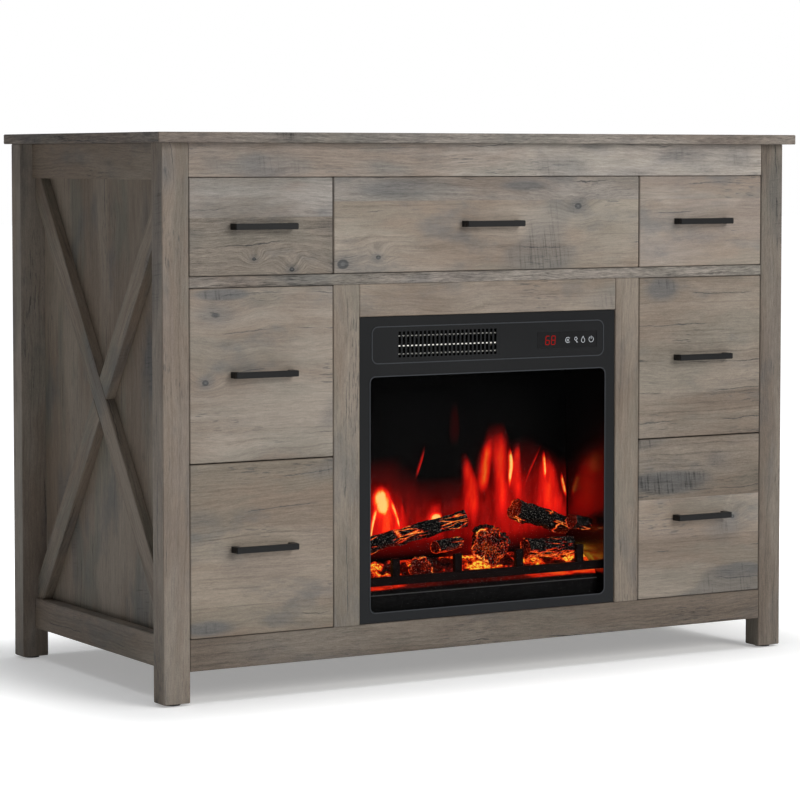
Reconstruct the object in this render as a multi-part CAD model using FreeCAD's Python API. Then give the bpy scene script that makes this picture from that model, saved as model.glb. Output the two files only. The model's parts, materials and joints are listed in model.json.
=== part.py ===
"""Freestanding mantel cabinet with seven drawers and an electric fireplace insert.

Frame: millimetres, +X to the right seen from the front, +Y towards the back, +Z up.
The origin is the centre of the overall footprint, on the floor.
"""
import FreeCAD, Part
import math
import os

# ---------------------------------------------------------------- driving dimensions
BODY_WIDTH = 1100.0          # over the outer faces of the legs
BODY_DEPTH = 530.0           # front face of the front legs to rear face of the rear legs
HEIGHT = 820.0
TOP_THICKNESS = 15.0
TOP_SIDE_OVERHANG = 13.0
TOP_FRONT_OVERHANG = 17.0
LEG_WIDTH = 42.0
LEG_DEPTH = 34.0
GLIDE_HEIGHT = 3.0
GLIDE_RADIUS = 12.0
BOARD = 15.0                 # panels and drawer fronts
RAIL_BOARD = 18.0            # front rails, stiles, header
FLOOR_CLEARANCE = 48.0       # underside of the bottom rails
BAY_BOTTOM = 94.0            # upper edge of the bottom front rail
DRAWER_SPLIT = 346.0         # between the low and the mid drawers
DECK_UNDERSIDE = 598.0
DECK_TOP = 614.0
TOP_RAIL_UNDERSIDE = 756.0
INSERT_TOP = 550.0           # underside of the header panel
INSERT_HALF_WIDTH = 228.0    # half the clear width between the stiles
STILE_OUTER = 272.0          # outer edge of a stile, measured from the centre
LOWER_PARTITION_INNER = 256.0
SIDE_RAIL_RECESS = 20.0
SIDE_RAIL_THICKNESS = 20.0
SIDE_RAIL_TOP_UNDERSIDE = 752.0
SIDE_RAIL_BOTTOM_TOP = 95.0
BRACE_THICKNESS = 15.0
BRACE_WIDTH = 36.0
BACK_THICKNESS = 5.0
FRONT_GAP = 1.0              # all round each drawer front

SCREW_RADIUS = 1.6           # back panel screws
SCREW_HEAD_RADIUS = 3.6
SCREW_HEAD_HEIGHT = 2.0
SCREW_LENGTH = 17.0
SCREW_HOLE_PLAY = 0.1
LOWER_SCREW_HEIGHTS = (150.0, 346.0, 540.0)
UPPER_SCREW_HEIGHTS = (650.0, 720.0)

SLIDE_SPACE = 13.0           # between a drawer side and the wall beside it
SLIDE_LENGTH = 400.0
SLIDE_HEIGHT = 35.0
SLIDE_METAL = 1.2
SLIDE_FRONT_SETBACK = 5.0
SLIDE_NESTING = 10.0         # how far a lip reaches across the gap
MEMBER_HEIGHT = 22.0         # drawer-side member, inside the cabinet-side one
DRAWER_BOARD = 12.0
DRAWER_BOTTOM = 4.0
DRAWER_LENGTH = 420.0
BOX_LIFT = 12.0              # drawer box above the lower edge of its opening
SHALLOW_BOX = 108.0          # box height in the top row
DEEP_BOX = 200.0             # box height in the lower rows

PULL_LENGTH = 102.0
PULL_PROJECTION = 18.0
PULL_BAR_DEPTH = 7.0
PULL_HEIGHT = 9.0
PULL_FOOT_WIDTH = 9.0
PULL_SCREW_RADIUS = 2.0
PULL_SCREW_PLAY = 0.2
PULL_SCREW_SPAN = 92.0

INSERT_GAP = 1.0             # round the insert's front frame
INSERT_RECESS = 1.5          # its face sits this far behind the stiles
INSERT_DEPTH = 206.0
SHEET = 1.2
RETURN_DEPTH = 10.0          # folded edge of the front frame

# ---------------------------------------------------------------- places that follow from them
Y_FRONT = PULL_PROJECTION - (BODY_DEPTH + PULL_PROJECTION) / 2.0
Y_REAR = Y_FRONT + BODY_DEPTH
HALF = BODY_WIDTH / 2.0
INNER = HALF - LEG_WIDTH                     # inner face of a leg
TOP_UNDERSIDE = HEIGHT - TOP_THICKNESS
SIDE_PANEL_OUTER = HALF - SIDE_RAIL_RECESS - SIDE_RAIL_THICKNESS
SIDE_PANEL_INNER = SIDE_PANEL_OUTER - BOARD
Y_BACK_PANEL = Y_REAR - RAIL_BOARD - BACK_THICKNESS
Y_BEHIND_RAIL = Y_FRONT + RAIL_BOARD
Y_SIDE_FRONT = Y_FRONT + LEG_DEPTH
Y_SIDE_REAR = Y_REAR - LEG_DEPTH
UPPER_PARTITION_INNER = STILE_OUTER - BOARD / 2.0
FRAME_HALF_WIDTH = INSERT_HALF_WIDTH - INSERT_GAP
FRAME_LOW = BAY_BOTTOM + INSERT_GAP
FRAME_HIGH = INSERT_TOP - INSERT_GAP
Y_FRAME = Y_FRONT + INSERT_RECESS

# the insert's pressed front: window, raised band above it, outlet grille and control panel
WINDOW_HALF_WIDTH = 209.0
WINDOW_LOW = 110.0
WINDOW_HIGH = 460.0
WINDOW_CORNER = 9.0
BAND_HALF_WIDTH = 207.0
BAND_LOW = 479.0
BAND_HIGH = 535.0
BAND_CORNER = 11.0
BEAD_WIDTH = 1.6
BEAD_PROUD = 0.6
GRILLE_LEFT = -165.0
GRILLE_RIGHT = 16.0
GRILLE_LOW = 485.0
GRILLE_HIGH = 529.5
GRILLE_SLOTS = 24
GRILLE_MARGIN = 3.0          # solid edge round the slots
GRILLE_SETBACK = 0.2
GRILLE_SHEET = 2.0
SLOT_WIDTH = 4.2
LOUVRE_HEIGHTS = (492.0, 504.0, 519.0)
LOUVRE_THICKNESS = 1.6
LOUVRE_SETBACK = 4.0         # louvre front edge behind the plate's face
LOUVRE_DEPTH = 8.0
BRACKET_THICKNESS = 1.0
CONTROL_LEFT = 85.0
CONTROL_RIGHT = 194.0
CONTROL_LOW = 493.0
CONTROL_HIGH = 518.0
CONTROL_SETBACK = 0.3
CONTROL_THICKNESS = 3.0
BOARD_SHEET = 1.6            # circuit board
CONTROL_BOARD_LOW = 478.0
CONTROL_BOARD_HIGH = 534.0
CONTROL_BOARD_SETBACK = 8.0
SPACER_RADIUS = 2.0

# inside the insert
HOUSING_HALF_WIDTH = 216.0
HOUSING_LOW = BAY_BOTTOM
HOUSING_HIGH = 543.0
HEATER_FLOOR = 470.0         # shelf between the fire chamber and the heater
GLASS_THICKNESS = 3.0
GLASS_MARGIN = 5.0           # glass behind the frame, all round the window
SCREEN_THICKNESS = 3.0
SCREEN_SIDE_GAP = 2.0
SCREEN_TOP_GAP = 1.0
Y_SCREEN = Y_FRONT + 118.0
FIRE_FLOOR = HOUSING_LOW + SHEET
EMBER_FRONT_HEIGHT = 132.0
EMBER_LIP_HEIGHT = 146.0
EMBER_BACK_HEIGHT = 168.0
EMBER_LIP_DEPTH = 12.0
EMBER_SIDE_GAP = 5.0
EMBER_REAR_GAP = 3.0
Y_EMBER_FRONT = Y_FRONT + 20.0
GRATE_POSTS = (-158.0, -49.0, 61.0, 172.0)
GRATE_POST_WIDTH = 13.0
GRATE_POST_TOP = 187.0
GRATE_BAR_LOW = 147.0
GRATE_BAR_HIGH = 160.0
GRATE_BAR_DEPTH = 7.0
GRATE_GAP = 1.0              # bar to ember bed
ROTOR_Y = Y_FRONT + 158.0
ROTOR_Z = 205.0
ROTOR_SHAFT_RADIUS = 3.0
ROTOR_HALF_LENGTH = 196.0
ROTOR_TURNS = 6              # foils before the pattern repeats
ROTOR_FOILS = 24
ROTOR_RADIUS = 26.0
FOIL_START = -168.0
FOIL_PITCH = 14.0
FOIL_WIDTH = 9.0
FOIL_THICKNESS = 0.8
WHEEL_Y = Y_FRONT + 118.0
WHEEL_Z = 507.0
WHEEL_RADIUS = 24.0
WHEEL_LEFT = -160.0
WHEEL_RIGHT = 10.0
WHEEL_DISC = 2.0
WHEEL_BLADES = 18
BLADE_INNER = 15.0           # blade edges, measured from the shaft's axis
BLADE_OUTER = 23.5
BLADE_THICKNESS = 0.8
BLADE_LEAN = 25.0            # degrees
WHEEL_SHAFT_RADIUS = 3.0
WHEEL_SHAFT_LEFT = 8.0       # shaft beyond the wheel, to its bearing
WHEEL_SHAFT_RIGHT = 14.0     # shaft beyond the wheel, into its motor
BEARING_CLEARANCE = 0.05
BEARING_PLATE = 3.0
BEARING_HALF_WIDTH = 12.0
BEARING_INSET = 2.0          # plate from the end of its shaft
BLOWER_MOTOR_RADIUS = 22.0
BLOWER_MOTOR_LENGTH = 46.0
BLOWER_MOTOR_GAP = 6.0       # wheel to motor
BLOWER_SHAFT_GRIP = 9.0
SADDLE_INSET = 8.0
FLAME_MOTOR_RADIUS = 9.0
FLAME_MOTOR_LENGTH = 18.8
FLAME_SHAFT_GRIP = 7.0
FLAME_GRIP_START = 6.0       # the motor reaches this far over the rotor's end
DUCT_SHEET = 1.0
DUCT_INSET = 2.0             # duct sides inside the grille's ends
DUCT_CLEARANCE = 1.0         # duct sheets above and below the grille
DUCT_START = 24.0            # behind the front frame
DUCT_WHEEL_GAP = 4.0
ELEMENT_HEIGHTS = (489.0, 503.0, 517.0)
ELEMENT_HEIGHT = 8.0
ELEMENT_DEPTH = 16.0
GLAND_X = 150.0
GLAND_Z = 140.0
GLAND_RADIUS = 11.0
GLAND_BORE_RADIUS = 4.0
GLAND_NECK_RADIUS = 7.8      # through the rear cover, with a 0.2 gap
GLAND_HOLE_RADIUS = 8.0
GLAND_NOSE_RADIUS = 7.0
GLAND_NECK_DEPTH = 8.0
GLAND_COLLAR = 5.0
GLAND_NOSE = 9.0
REAR_SLOT_ROWS = 3
REAR_SLOT_COLUMNS = 9
REAR_SLOT_LEFT = -184.0
REAR_SLOT_LOW = 486.0
REAR_SLOT_PITCH_X = 42.0
REAR_SLOT_PITCH_Z = 16.0
REAR_SLOT_WIDTH = 32.0
REAR_SLOT_HEIGHT = 5.0

# each log: one end, the other end (y from the front plane), radius, place of its seat along it
LOGS = [
    ((-205, 50, 200), (-8, 62, 233), 16.0, 0.25),
    ((17, 30, 194), (33, 58, 195.5), 36.0, 0.5),
    ((84, 62, 242), (190, 80, 208), 20.0, 0.5),
    ((90, 42, 182), (174, 44, 182), 20.0, 0.5),
    ((172, 38, 221), (208, 45, 214), 15.0, 0.5),
    ((-100, 36, 163), (-88, 58, 164), 24.0, 0.5),
    ((-72, 43, 194), (-20, 54, 199), 13.0, 0.5),
]

# power board on the heater shelf, and the lamp strip under the rotor
POWER_BOARD_LOW = (92.0, 60.0)       # x, and y from the front plane
POWER_BOARD_HIGH = (196.0, 150.0)
BOARD_FOOT = 4.0
BOARD_FOOT_RADIUS = 2.5
BOARD_FOOT_INSET = 6.0
RELAY_LOW = (110.0, 80.0)
RELAY_HIGH = (130.0, 110.0)
RELAY_HEIGHT = 16.0
CAPACITOR_PLACE = (160.0, 95.0)
CAPACITOR_RADIUS = 9.0
CAPACITOR_HEIGHT = 22.0
LAMP_STRIP_HALF_LENGTH = 190.0
LAMP_STRIP_HALF_WIDTH = 8.0
LAMP_PITCH = 35.0
LAMP_COUNT = 11
LAMP_HALF_SIZE = 3.0
LAMP_HEIGHT = 2.4

X_AXIS = FreeCAD.Vector(1, 0, 0)
Y_AXIS = FreeCAD.Vector(0, 1, 0)
Z_AXIS = FreeCAD.Vector(0, 0, 1)


# ---------------------------------------------------------------- helpers
def block(low, high):
    """A box between two opposite corners."""
    size = [b - a for a, b in zip(low, high)]
    return Part.makeBox(size[0], size[1], size[2], FreeCAD.Vector(*low))


def rod(start, axis, radius, length):
    """A round bar from a point, along an axis."""
    return Part.makeCylinder(radius, length, FreeCAD.Vector(*start), axis)


def mirrored(shape):
    """The same shape on the other side of the centre plane."""
    return shape.mirror(FreeCAD.Vector(0, 0, 0), X_AXIS)


def prism_yz(points, x_low, x_high):
    """A flat outline in Y and Z, given a thickness in X."""
    corners = [FreeCAD.Vector(x_low, y, z) for y, z in points]
    wire = Part.makePolygon(corners + corners[:1])
    return Part.Face(wire).extrude(FreeCAD.Vector(x_high - x_low, 0, 0))


def rounded_block(low, high, radius):
    """A plate with its four edges along Y rounded."""
    plate = block(low, high)
    edges = [edge for edge in plate.Edges if abs(edge.tangentAt(edge.FirstParameter).y) > 0.99]
    return plate.makeFillet(radius, edges)


def save(name, solids):
    """Write one sub-part, made of one or more separate solids."""
    shape = solids[0] if len(solids) == 1 else Part.makeCompound(solids)
    shape.exportStep(os.path.join("parts", name + ".step"))


# ---------------------------------------------------------------- cabinet
def top_panel():
    side = HALF + TOP_SIDE_OVERHANG
    return [block((-side, Y_FRONT - TOP_FRONT_OVERHANG, TOP_UNDERSIDE), (side, Y_REAR, HEIGHT))]


def leg_places():
    """Low corner of each leg: x and y."""
    return [(x, y) for x in (-HALF, INNER) for y in (Y_FRONT, Y_SIDE_REAR)]


def legs():
    made = []
    for x, y in leg_places():
        made.append(block((x, y, GLIDE_HEIGHT), (x + LEG_WIDTH, y + LEG_DEPTH, TOP_UNDERSIDE)))
    return made


def foot_glides():
    centres = [(x + LEG_WIDTH / 2.0, y + LEG_DEPTH / 2.0) for x, y in leg_places()]
    return [rod((x, y, 0), Z_AXIS, GLIDE_RADIUS, GLIDE_HEIGHT) for x, y in centres]


def front_rails():
    top = block((-INNER, Y_FRONT, TOP_RAIL_UNDERSIDE), (INNER, Y_BEHIND_RAIL, TOP_UNDERSIDE))
    bottom = block((-INNER, Y_FRONT, FLOOR_CLEARANCE), (INNER, Y_BEHIND_RAIL, BAY_BOTTOM))
    return [top, bottom]


def side_rails():
    inner = SIDE_PANEL_OUTER
    outer = HALF - SIDE_RAIL_RECESS
    top = block((inner, Y_SIDE_FRONT, SIDE_RAIL_TOP_UNDERSIDE), (outer, Y_SIDE_REAR, TOP_UNDERSIDE))
    bottom = block((inner, Y_SIDE_FRONT, FLOOR_CLEARANCE), (outer, Y_SIDE_REAR, SIDE_RAIL_BOTTOM_TOP))
    return [top, bottom, mirrored(top), mirrored(bottom)]


def rear_rails():
    heights = [
        (FLOOR_CLEARANCE, BAY_BOTTOM),
        (DECK_UNDERSIDE - RAIL_BOARD, DECK_TOP),
        (TOP_RAIL_UNDERSIDE, TOP_UNDERSIDE),
    ]
    y_low = Y_REAR - RAIL_BOARD
    return [block((-INNER, y_low, low), (INNER, Y_REAR, high)) for low, high in heights]


def deck_panel():
    """Shelf under the top drawers; its front edge shows as the middle rail."""
    front = block((-INNER, Y_FRONT, DECK_UNDERSIDE), (INNER, Y_SIDE_FRONT, DECK_TOP))
    side = SIDE_PANEL_INNER
    rest = block((-side, Y_SIDE_FRONT, DECK_UNDERSIDE), (side, Y_BACK_PANEL, DECK_TOP))
    return [front.fuse(rest).removeSplitter()]


def bottom_panel():
    low = (-SIDE_PANEL_INNER, Y_BEHIND_RAIL, BAY_BOTTOM - BOARD)
    return [block(low, (SIDE_PANEL_INNER, Y_BACK_PANEL, BAY_BOTTOM))]


def stiles():
    low = (INSERT_HALF_WIDTH, Y_FRONT, BAY_BOTTOM)
    right = block(low, (STILE_OUTER, Y_BEHIND_RAIL, DECK_UNDERSIDE))
    return [mirrored(right), right]


def fireplace_header():
    low = (-INSERT_HALF_WIDTH, Y_FRONT, INSERT_TOP)
    return [block(low, (INSERT_HALF_WIDTH, Y_BEHIND_RAIL, DECK_UNDERSIDE))]


def side_panels():
    low = (SIDE_PANEL_INNER, Y_SIDE_FRONT, FLOOR_CLEARANCE)
    right = block(low, (SIDE_PANEL_OUTER, Y_SIDE_REAR, TOP_UNDERSIDE))
    return [mirrored(right), right]


def brace_field():
    """The four corners of the field that the X bracing fills: y low, y high, z low, z high."""
    return Y_SIDE_FRONT, Y_SIDE_REAR, SIDE_RAIL_BOTTOM_TOP, SIDE_RAIL_TOP_UNDERSIDE


def cross_braces():
    """On each side one board from rear top to front bottom, and two boards butted against it."""
    y0, y1, z0, z1 = brace_field()
    width = y1 - y0
    height = z1 - z0
    diagonal = math.hypot(width, height)
    reach_y = BRACE_WIDTH / 2.0 * diagonal / height
    reach_z = BRACE_WIDTH / 2.0 * diagonal / width
    x_low = SIDE_PANEL_OUTER
    x_high = SIDE_PANEL_OUTER + BRACE_THICKNESS
    long_outline = [(y0, z0), (y0 + reach_y, z0), (y1, z1 - reach_z)]
    long_outline += [(y1, z1), (y1 - reach_y, z1), (y0, z0 + reach_z)]
    long_board = prism_yz(long_outline, x_low, x_high)
    other_outline = [(y1, z0), (y1, z0 + reach_z), (y0 + reach_y, z1)]
    other_outline += [(y0, z1), (y0, z1 - reach_z), (y1 - reach_y, z0)]
    short_boards = prism_yz(other_outline, x_low, x_high).cut(long_board).Solids
    right = [long_board] + short_boards
    return right + [mirrored(board) for board in right]


def partitions():
    """Lower pair beside the insert, upper pair between the top drawers."""
    lower = block(
        (LOWER_PARTITION_INNER, Y_BEHIND_RAIL, BAY_BOTTOM),
        (LOWER_PARTITION_INNER + BOARD, Y_BACK_PANEL, DECK_UNDERSIDE),
    )
    upper_low = (UPPER_PARTITION_INNER, Y_BEHIND_RAIL, DECK_TOP)
    upper = block(upper_low, (UPPER_PARTITION_INNER + BOARD, Y_BACK_PANEL, TOP_UNDERSIDE))
    for x, z in screw_places():
        lower = lower.cut(screw_hole(x, z))
        upper = upper.cut(screw_hole(x, z))
    return [mirrored(lower), lower, mirrored(upper), upper]


def back_panels():
    """Three thin boards: behind each drawer stack and across the top; the middle bay stays open."""
    y_face = Y_BACK_PANEL + BACK_THICKNESS
    right_low = (LOWER_PARTITION_INNER, Y_BACK_PANEL, FLOOR_CLEARANCE)
    right = block(right_low, (INNER, y_face, DECK_UNDERSIDE))
    upper = block((-INNER, Y_BACK_PANEL, DECK_UNDERSIDE), (INNER, y_face, TOP_UNDERSIDE))
    for x, z in screw_places():
        right = right.cut(screw_hole(x, z))
        upper = upper.cut(screw_hole(x, z)).cut(screw_hole(-x, z))
    return [mirrored(right), right, upper]


def screw_places():
    """Back panel screws on the right half: three up the lower partition, two up the upper one."""
    lower_x = LOWER_PARTITION_INNER + BOARD / 2.0
    upper_x = UPPER_PARTITION_INNER + BOARD / 2.0
    lower = [(lower_x, z) for z in LOWER_SCREW_HEIGHTS]
    upper = [(upper_x, z) for z in UPPER_SCREW_HEIGHTS]
    return lower + upper


def screw_hole(x, z):
    start = (x, Y_BACK_PANEL + BACK_THICKNESS - SCREW_LENGTH - 1.0, z)
    return rod(start, Y_AXIS, SCREW_RADIUS + SCREW_HOLE_PLAY, SCREW_LENGTH + 1.0)


def cabinet_screws():
    screws = []
    y_face = Y_BACK_PANEL + BACK_THICKNESS
    for x, z in screw_places():
        shank = rod((x, y_face - SCREW_LENGTH, z), Y_AXIS, SCREW_RADIUS, SCREW_LENGTH)
        head = rod((x, y_face, z), Y_AXIS, SCREW_HEAD_RADIUS, SCREW_HEAD_HEIGHT)
        screw = shank.fuse(head).removeSplitter()
        screws += [screw, mirrored(screw)]
    return screws


# ---------------------------------------------------------------- drawers
def drawer_plan():
    """Name, front opening (x low, x high, z low, z high), side walls (x low, x high) and box height."""
    lower_wall = LOWER_PARTITION_INNER + BOARD
    upper_wall = UPPER_PARTITION_INNER + BOARD
    left_walls = (-SIDE_PANEL_INNER, -upper_wall)
    centre_walls = (-UPPER_PARTITION_INNER, UPPER_PARTITION_INNER)
    right_walls = (upper_wall, SIDE_PANEL_INNER)
    top = (DECK_TOP, TOP_RAIL_UNDERSIDE)
    plan = [
        ("top_left", (-INNER, -STILE_OUTER) + top, left_walls, SHALLOW_BOX),
        ("top_centre", (-STILE_OUTER, STILE_OUTER) + top, centre_walls, SHALLOW_BOX),
        ("top_right", (STILE_OUTER, INNER) + top, right_walls, SHALLOW_BOX),
    ]
    left_walls = (-SIDE_PANEL_INNER, -lower_wall)
    right_walls = (lower_wall, SIDE_PANEL_INNER)
    for row, heights in (("mid", (DRAWER_SPLIT, DECK_UNDERSIDE)), ("low", (BAY_BOTTOM, DRAWER_SPLIT))):
        plan.append((row + "_left", (-INNER, -STILE_OUTER) + heights, left_walls, DEEP_BOX))
        plan.append((row + "_right", (STILE_OUTER, INNER) + heights, right_walls, DEEP_BOX))
    return plan


def pull_centre(opening):
    return (opening[0] + opening[1]) / 2.0, (opening[2] + opening[3]) / 2.0


def pull_holes(opening, radius):
    """Two bores through the front board and the inner front, on into the pull's feet."""
    x, z = pull_centre(opening)
    depth = BOARD + DRAWER_BOARD
    start = Y_FRONT - PULL_PROJECTION / 2.0
    length = depth + PULL_PROJECTION / 2.0
    reach = PULL_SCREW_SPAN / 2.0
    return [rod((place, start, z), Y_AXIS, radius, length) for place in (x - reach, x + reach)]


def drawer_front(opening):
    x0, x1, z0, z1 = opening
    low = (x0 + FRONT_GAP, Y_FRONT, z0 + FRONT_GAP)
    board = block(low, (x1 - FRONT_GAP, Y_FRONT + BOARD, z1 - FRONT_GAP))
    for hole in pull_holes(opening, PULL_SCREW_RADIUS + PULL_SCREW_PLAY):
        board = board.cut(hole)
    return [board]


def drawer_box(opening, walls, height):
    """Two sides, an inner front, a back and a thin bottom, butted together."""
    x0 = walls[0] + SLIDE_SPACE
    x1 = walls[1] - SLIDE_SPACE
    z0 = opening[2] + BOX_LIFT
    z1 = z0 + height
    y0 = Y_FRONT + BOARD
    y1 = y0 + DRAWER_LENGTH
    left = block((x0, y0, z0), (x0 + DRAWER_BOARD, y1, z1))
    right = block((x1 - DRAWER_BOARD, y0, z0), (x1, y1, z1))
    inner_front = block((x0 + DRAWER_BOARD, y0, z0), (x1 - DRAWER_BOARD, y0 + DRAWER_BOARD, z1))
    for hole in pull_holes(opening, PULL_SCREW_RADIUS + PULL_SCREW_PLAY):
        inner_front = inner_front.cut(hole)
    back = block((x0 + DRAWER_BOARD, y1 - DRAWER_BOARD, z0), (x1 - DRAWER_BOARD, y1, z1))
    bottom_low = (x0 + DRAWER_BOARD, y0 + DRAWER_BOARD, z0 + DRAWER_BOARD / 2.0)
    bottom_high = (x1 - DRAWER_BOARD, y1 - DRAWER_BOARD, z0 + DRAWER_BOARD / 2.0 + DRAWER_BOTTOM)
    return [left, right, inner_front, back, block(bottom_low, bottom_high)]


def drawer_pull(opening):
    """A square bar on two feet, with the two screws that hold it."""
    x, z = pull_centre(opening)
    half = PULL_LENGTH / 2.0
    z0 = z - PULL_HEIGHT / 2.0
    z1 = z + PULL_HEIGHT / 2.0
    y_out = Y_FRONT - PULL_PROJECTION
    y_bar = y_out + PULL_BAR_DEPTH
    bar = block((x - half, y_out, z0), (x + half, y_bar, z1))
    left_foot = block((x - half, y_bar, z0), (x - half + PULL_FOOT_WIDTH, Y_FRONT, z1))
    right_foot = block((x + half - PULL_FOOT_WIDTH, y_bar, z0), (x + half, Y_FRONT, z1))
    feet = [left_foot, right_foot]
    for hole in pull_holes(opening, PULL_SCREW_RADIUS + PULL_SCREW_PLAY):
        feet = [foot.cut(hole) for foot in feet]
    screws = []
    y_head = Y_FRONT + BOARD + DRAWER_BOARD
    for shank in pull_holes(opening, PULL_SCREW_RADIUS):
        centre = shank.BoundBox.Center
        head = rod((centre.x, y_head, centre.z), Y_AXIS, 2.0 * PULL_SCREW_RADIUS, PULL_SCREW_RADIUS)
        screws.append(shank.fuse(head).removeSplitter())
    return [bar] + feet + screws


def channel(x_web, x_lip, y0, y1, z_mid, height):
    """A folded steel channel along Y: a web at x_web with lips that reach to x_lip."""
    towards = math.copysign(SLIDE_METAL, x_lip - x_web)
    webs = sorted((x_web, x_web + towards))
    lips = sorted((x_web, x_lip))
    low = z_mid - height / 2.0
    high = z_mid + height / 2.0
    web = block((webs[0], y0, low), (webs[1], y1, high))
    upper = block((lips[0], y0, high - SLIDE_METAL), (lips[1], y1, high))
    lower = block((lips[0], y0, low), (lips[1], y1, low + SLIDE_METAL))
    return web.fuse(upper).fuse(lower).removeSplitter()


def slide_middle(opening, height):
    return opening[2] + BOX_LIFT + height / 2.0


def cabinet_slides():
    """One outer channel on each wall beside each drawer."""
    y0 = Y_BEHIND_RAIL + SLIDE_FRONT_SETBACK
    y1 = y0 + SLIDE_LENGTH
    members = []
    for _name, opening, walls, height in drawer_plan():
        z_mid = slide_middle(opening, height)
        for wall, inward in ((walls[0], 1), (walls[1], -1)):
            lip = wall + inward * SLIDE_NESTING
            members.append(channel(wall, lip, y0, y1, z_mid, SLIDE_HEIGHT))
    return members


def drawer_runners(opening, walls, height):
    """The two inner channels, screwed to the drawer's sides."""
    y0 = Y_BEHIND_RAIL + SLIDE_FRONT_SETBACK
    y1 = y0 + SLIDE_LENGTH
    z_mid = slide_middle(opening, height)
    members = []
    for wall, inward in ((walls[0], 1), (walls[1], -1)):
        x_web = wall + inward * SLIDE_SPACE
        lip = x_web - inward * SLIDE_NESTING
        members.append(channel(x_web, lip, y0, y1, z_mid, MEMBER_HEIGHT))
    return members


# ---------------------------------------------------------------- insert
def bead(x_half, z_low, z_high, corner):
    """A thin raised line round a rounded rectangle on the pressed front."""
    y_out = Y_FRAME - BEAD_PROUD
    outer = rounded_block((-x_half, y_out, z_low), (x_half, Y_FRAME, z_high), corner)
    inner_low = (-x_half + BEAD_WIDTH, y_out, z_low + BEAD_WIDTH)
    inner_high = (x_half - BEAD_WIDTH, Y_FRAME, z_high - BEAD_WIDTH)
    return outer.cut(rounded_block(inner_low, inner_high, corner - BEAD_WIDTH))


def insert_frame():
    """Pressed steel front with returned edges, beads, window, grille and control openings."""
    y_back = Y_FRAME + SHEET
    half = FRAME_HALF_WIDTH
    face = block((-half, Y_FRAME, FRAME_LOW), (half, y_back, FRAME_HIGH))
    window_low = (-WINDOW_HALF_WIDTH, Y_FRAME, WINDOW_LOW)
    window_high = (WINDOW_HALF_WIDTH, y_back, WINDOW_HIGH)
    face = face.cut(rounded_block(window_low, window_high, WINDOW_CORNER))
    face = face.cut(block((GRILLE_LEFT, Y_FRAME, GRILLE_LOW), (GRILLE_RIGHT, y_back, GRILLE_HIGH)))
    face = face.cut(block((CONTROL_LEFT, Y_FRAME, CONTROL_LOW), (CONTROL_RIGHT, y_back, CONTROL_HIGH)))
    y_return = y_back + RETURN_DEPTH
    left_return = block((-half, y_back, FRAME_LOW), (-half + SHEET, y_return, FRAME_HIGH))
    top_return = block((-half, y_back, FRAME_HIGH - SHEET), (half, y_return, FRAME_HIGH))
    for edge in (left_return, mirrored(left_return), top_return):
        face = face.fuse(edge)
    face = face.fuse(bead(BAND_HALF_WIDTH, BAND_LOW, BAND_HIGH, BAND_CORNER))
    rim_half = WINDOW_HALF_WIDTH + BEAD_WIDTH
    rim = bead(rim_half, WINDOW_LOW - BEAD_WIDTH, WINDOW_HIGH + BEAD_WIDTH, WINDOW_CORNER + BEAD_WIDTH)
    return [face.fuse(rim).removeSplitter()]


def insert_glass():
    half = WINDOW_HALF_WIDTH + GLASS_MARGIN
    y0 = Y_FRAME + SHEET
    low = (-half, y0, WINDOW_LOW - GLASS_MARGIN)
    return [block(low, (half, y0 + GLASS_THICKNESS, WINDOW_HIGH + GLASS_MARGIN))]


def insert_housing():
    """Steel sheets: floor, roof, two sides and the heater shelf."""
    y0 = Y_FRAME + SHEET
    y1 = Y_FRONT + INSERT_DEPTH
    half = HOUSING_HALF_WIDTH
    floor = block((-half, Y_BEHIND_RAIL, HOUSING_LOW), (half, y1, HOUSING_LOW + SHEET))
    roof = block((-half, y0, HOUSING_HIGH - SHEET), (half, y1, HOUSING_HIGH))
    side = block((half - SHEET, y0, HOUSING_LOW + SHEET), (half, y1, HOUSING_HIGH - SHEET))
    shelf_low = (-half + SHEET, y0 + GLASS_THICKNESS, HEATER_FLOOR)
    shelf = block(shelf_low, (half - SHEET, y1, HEATER_FLOOR + SHEET))
    return [floor, roof, mirrored(side), side, shelf]


def insert_rear_cover():
    """Back sheet with air intake slots and the cord hole."""
    y0 = Y_FRONT + INSERT_DEPTH
    y1 = y0 + SHEET
    half = HOUSING_HALF_WIDTH
    sheet = block((-half, y0, HOUSING_LOW), (half, y1, HOUSING_HIGH))
    for row in range(REAR_SLOT_ROWS):
        z = REAR_SLOT_LOW + REAR_SLOT_PITCH_Z * row
        for column in range(REAR_SLOT_COLUMNS):
            x = REAR_SLOT_LEFT + REAR_SLOT_PITCH_X * column
            sheet = sheet.cut(block((x, y0, z), (x + REAR_SLOT_WIDTH, y1, z + REAR_SLOT_HEIGHT)))
    return [sheet.cut(rod((GLAND_X, y0, GLAND_Z), Y_AXIS, GLAND_HOLE_RADIUS, SHEET))]


def cord_gland():
    """Stepped bush through the rear cover, with a bore for the supply cord."""
    y0 = Y_FRONT + INSERT_DEPTH
    y1 = y0 + SHEET
    y_start = y0 - GLAND_NECK_DEPTH
    length = GLAND_NECK_DEPTH + SHEET + GLAND_COLLAR + GLAND_NOSE
    neck = rod((GLAND_X, y_start, GLAND_Z), Y_AXIS, GLAND_NECK_RADIUS, GLAND_NECK_DEPTH + SHEET)
    collar = rod((GLAND_X, y1, GLAND_Z), Y_AXIS, GLAND_RADIUS, GLAND_COLLAR)
    nose = rod((GLAND_X, y1 + GLAND_COLLAR, GLAND_Z), Y_AXIS, GLAND_NOSE_RADIUS, GLAND_NOSE)
    bore = rod((GLAND_X, y_start, GLAND_Z), Y_AXIS, GLAND_BORE_RADIUS, length)
    return [neck.fuse(collar).fuse(nose).removeSplitter().cut(bore)]


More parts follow.
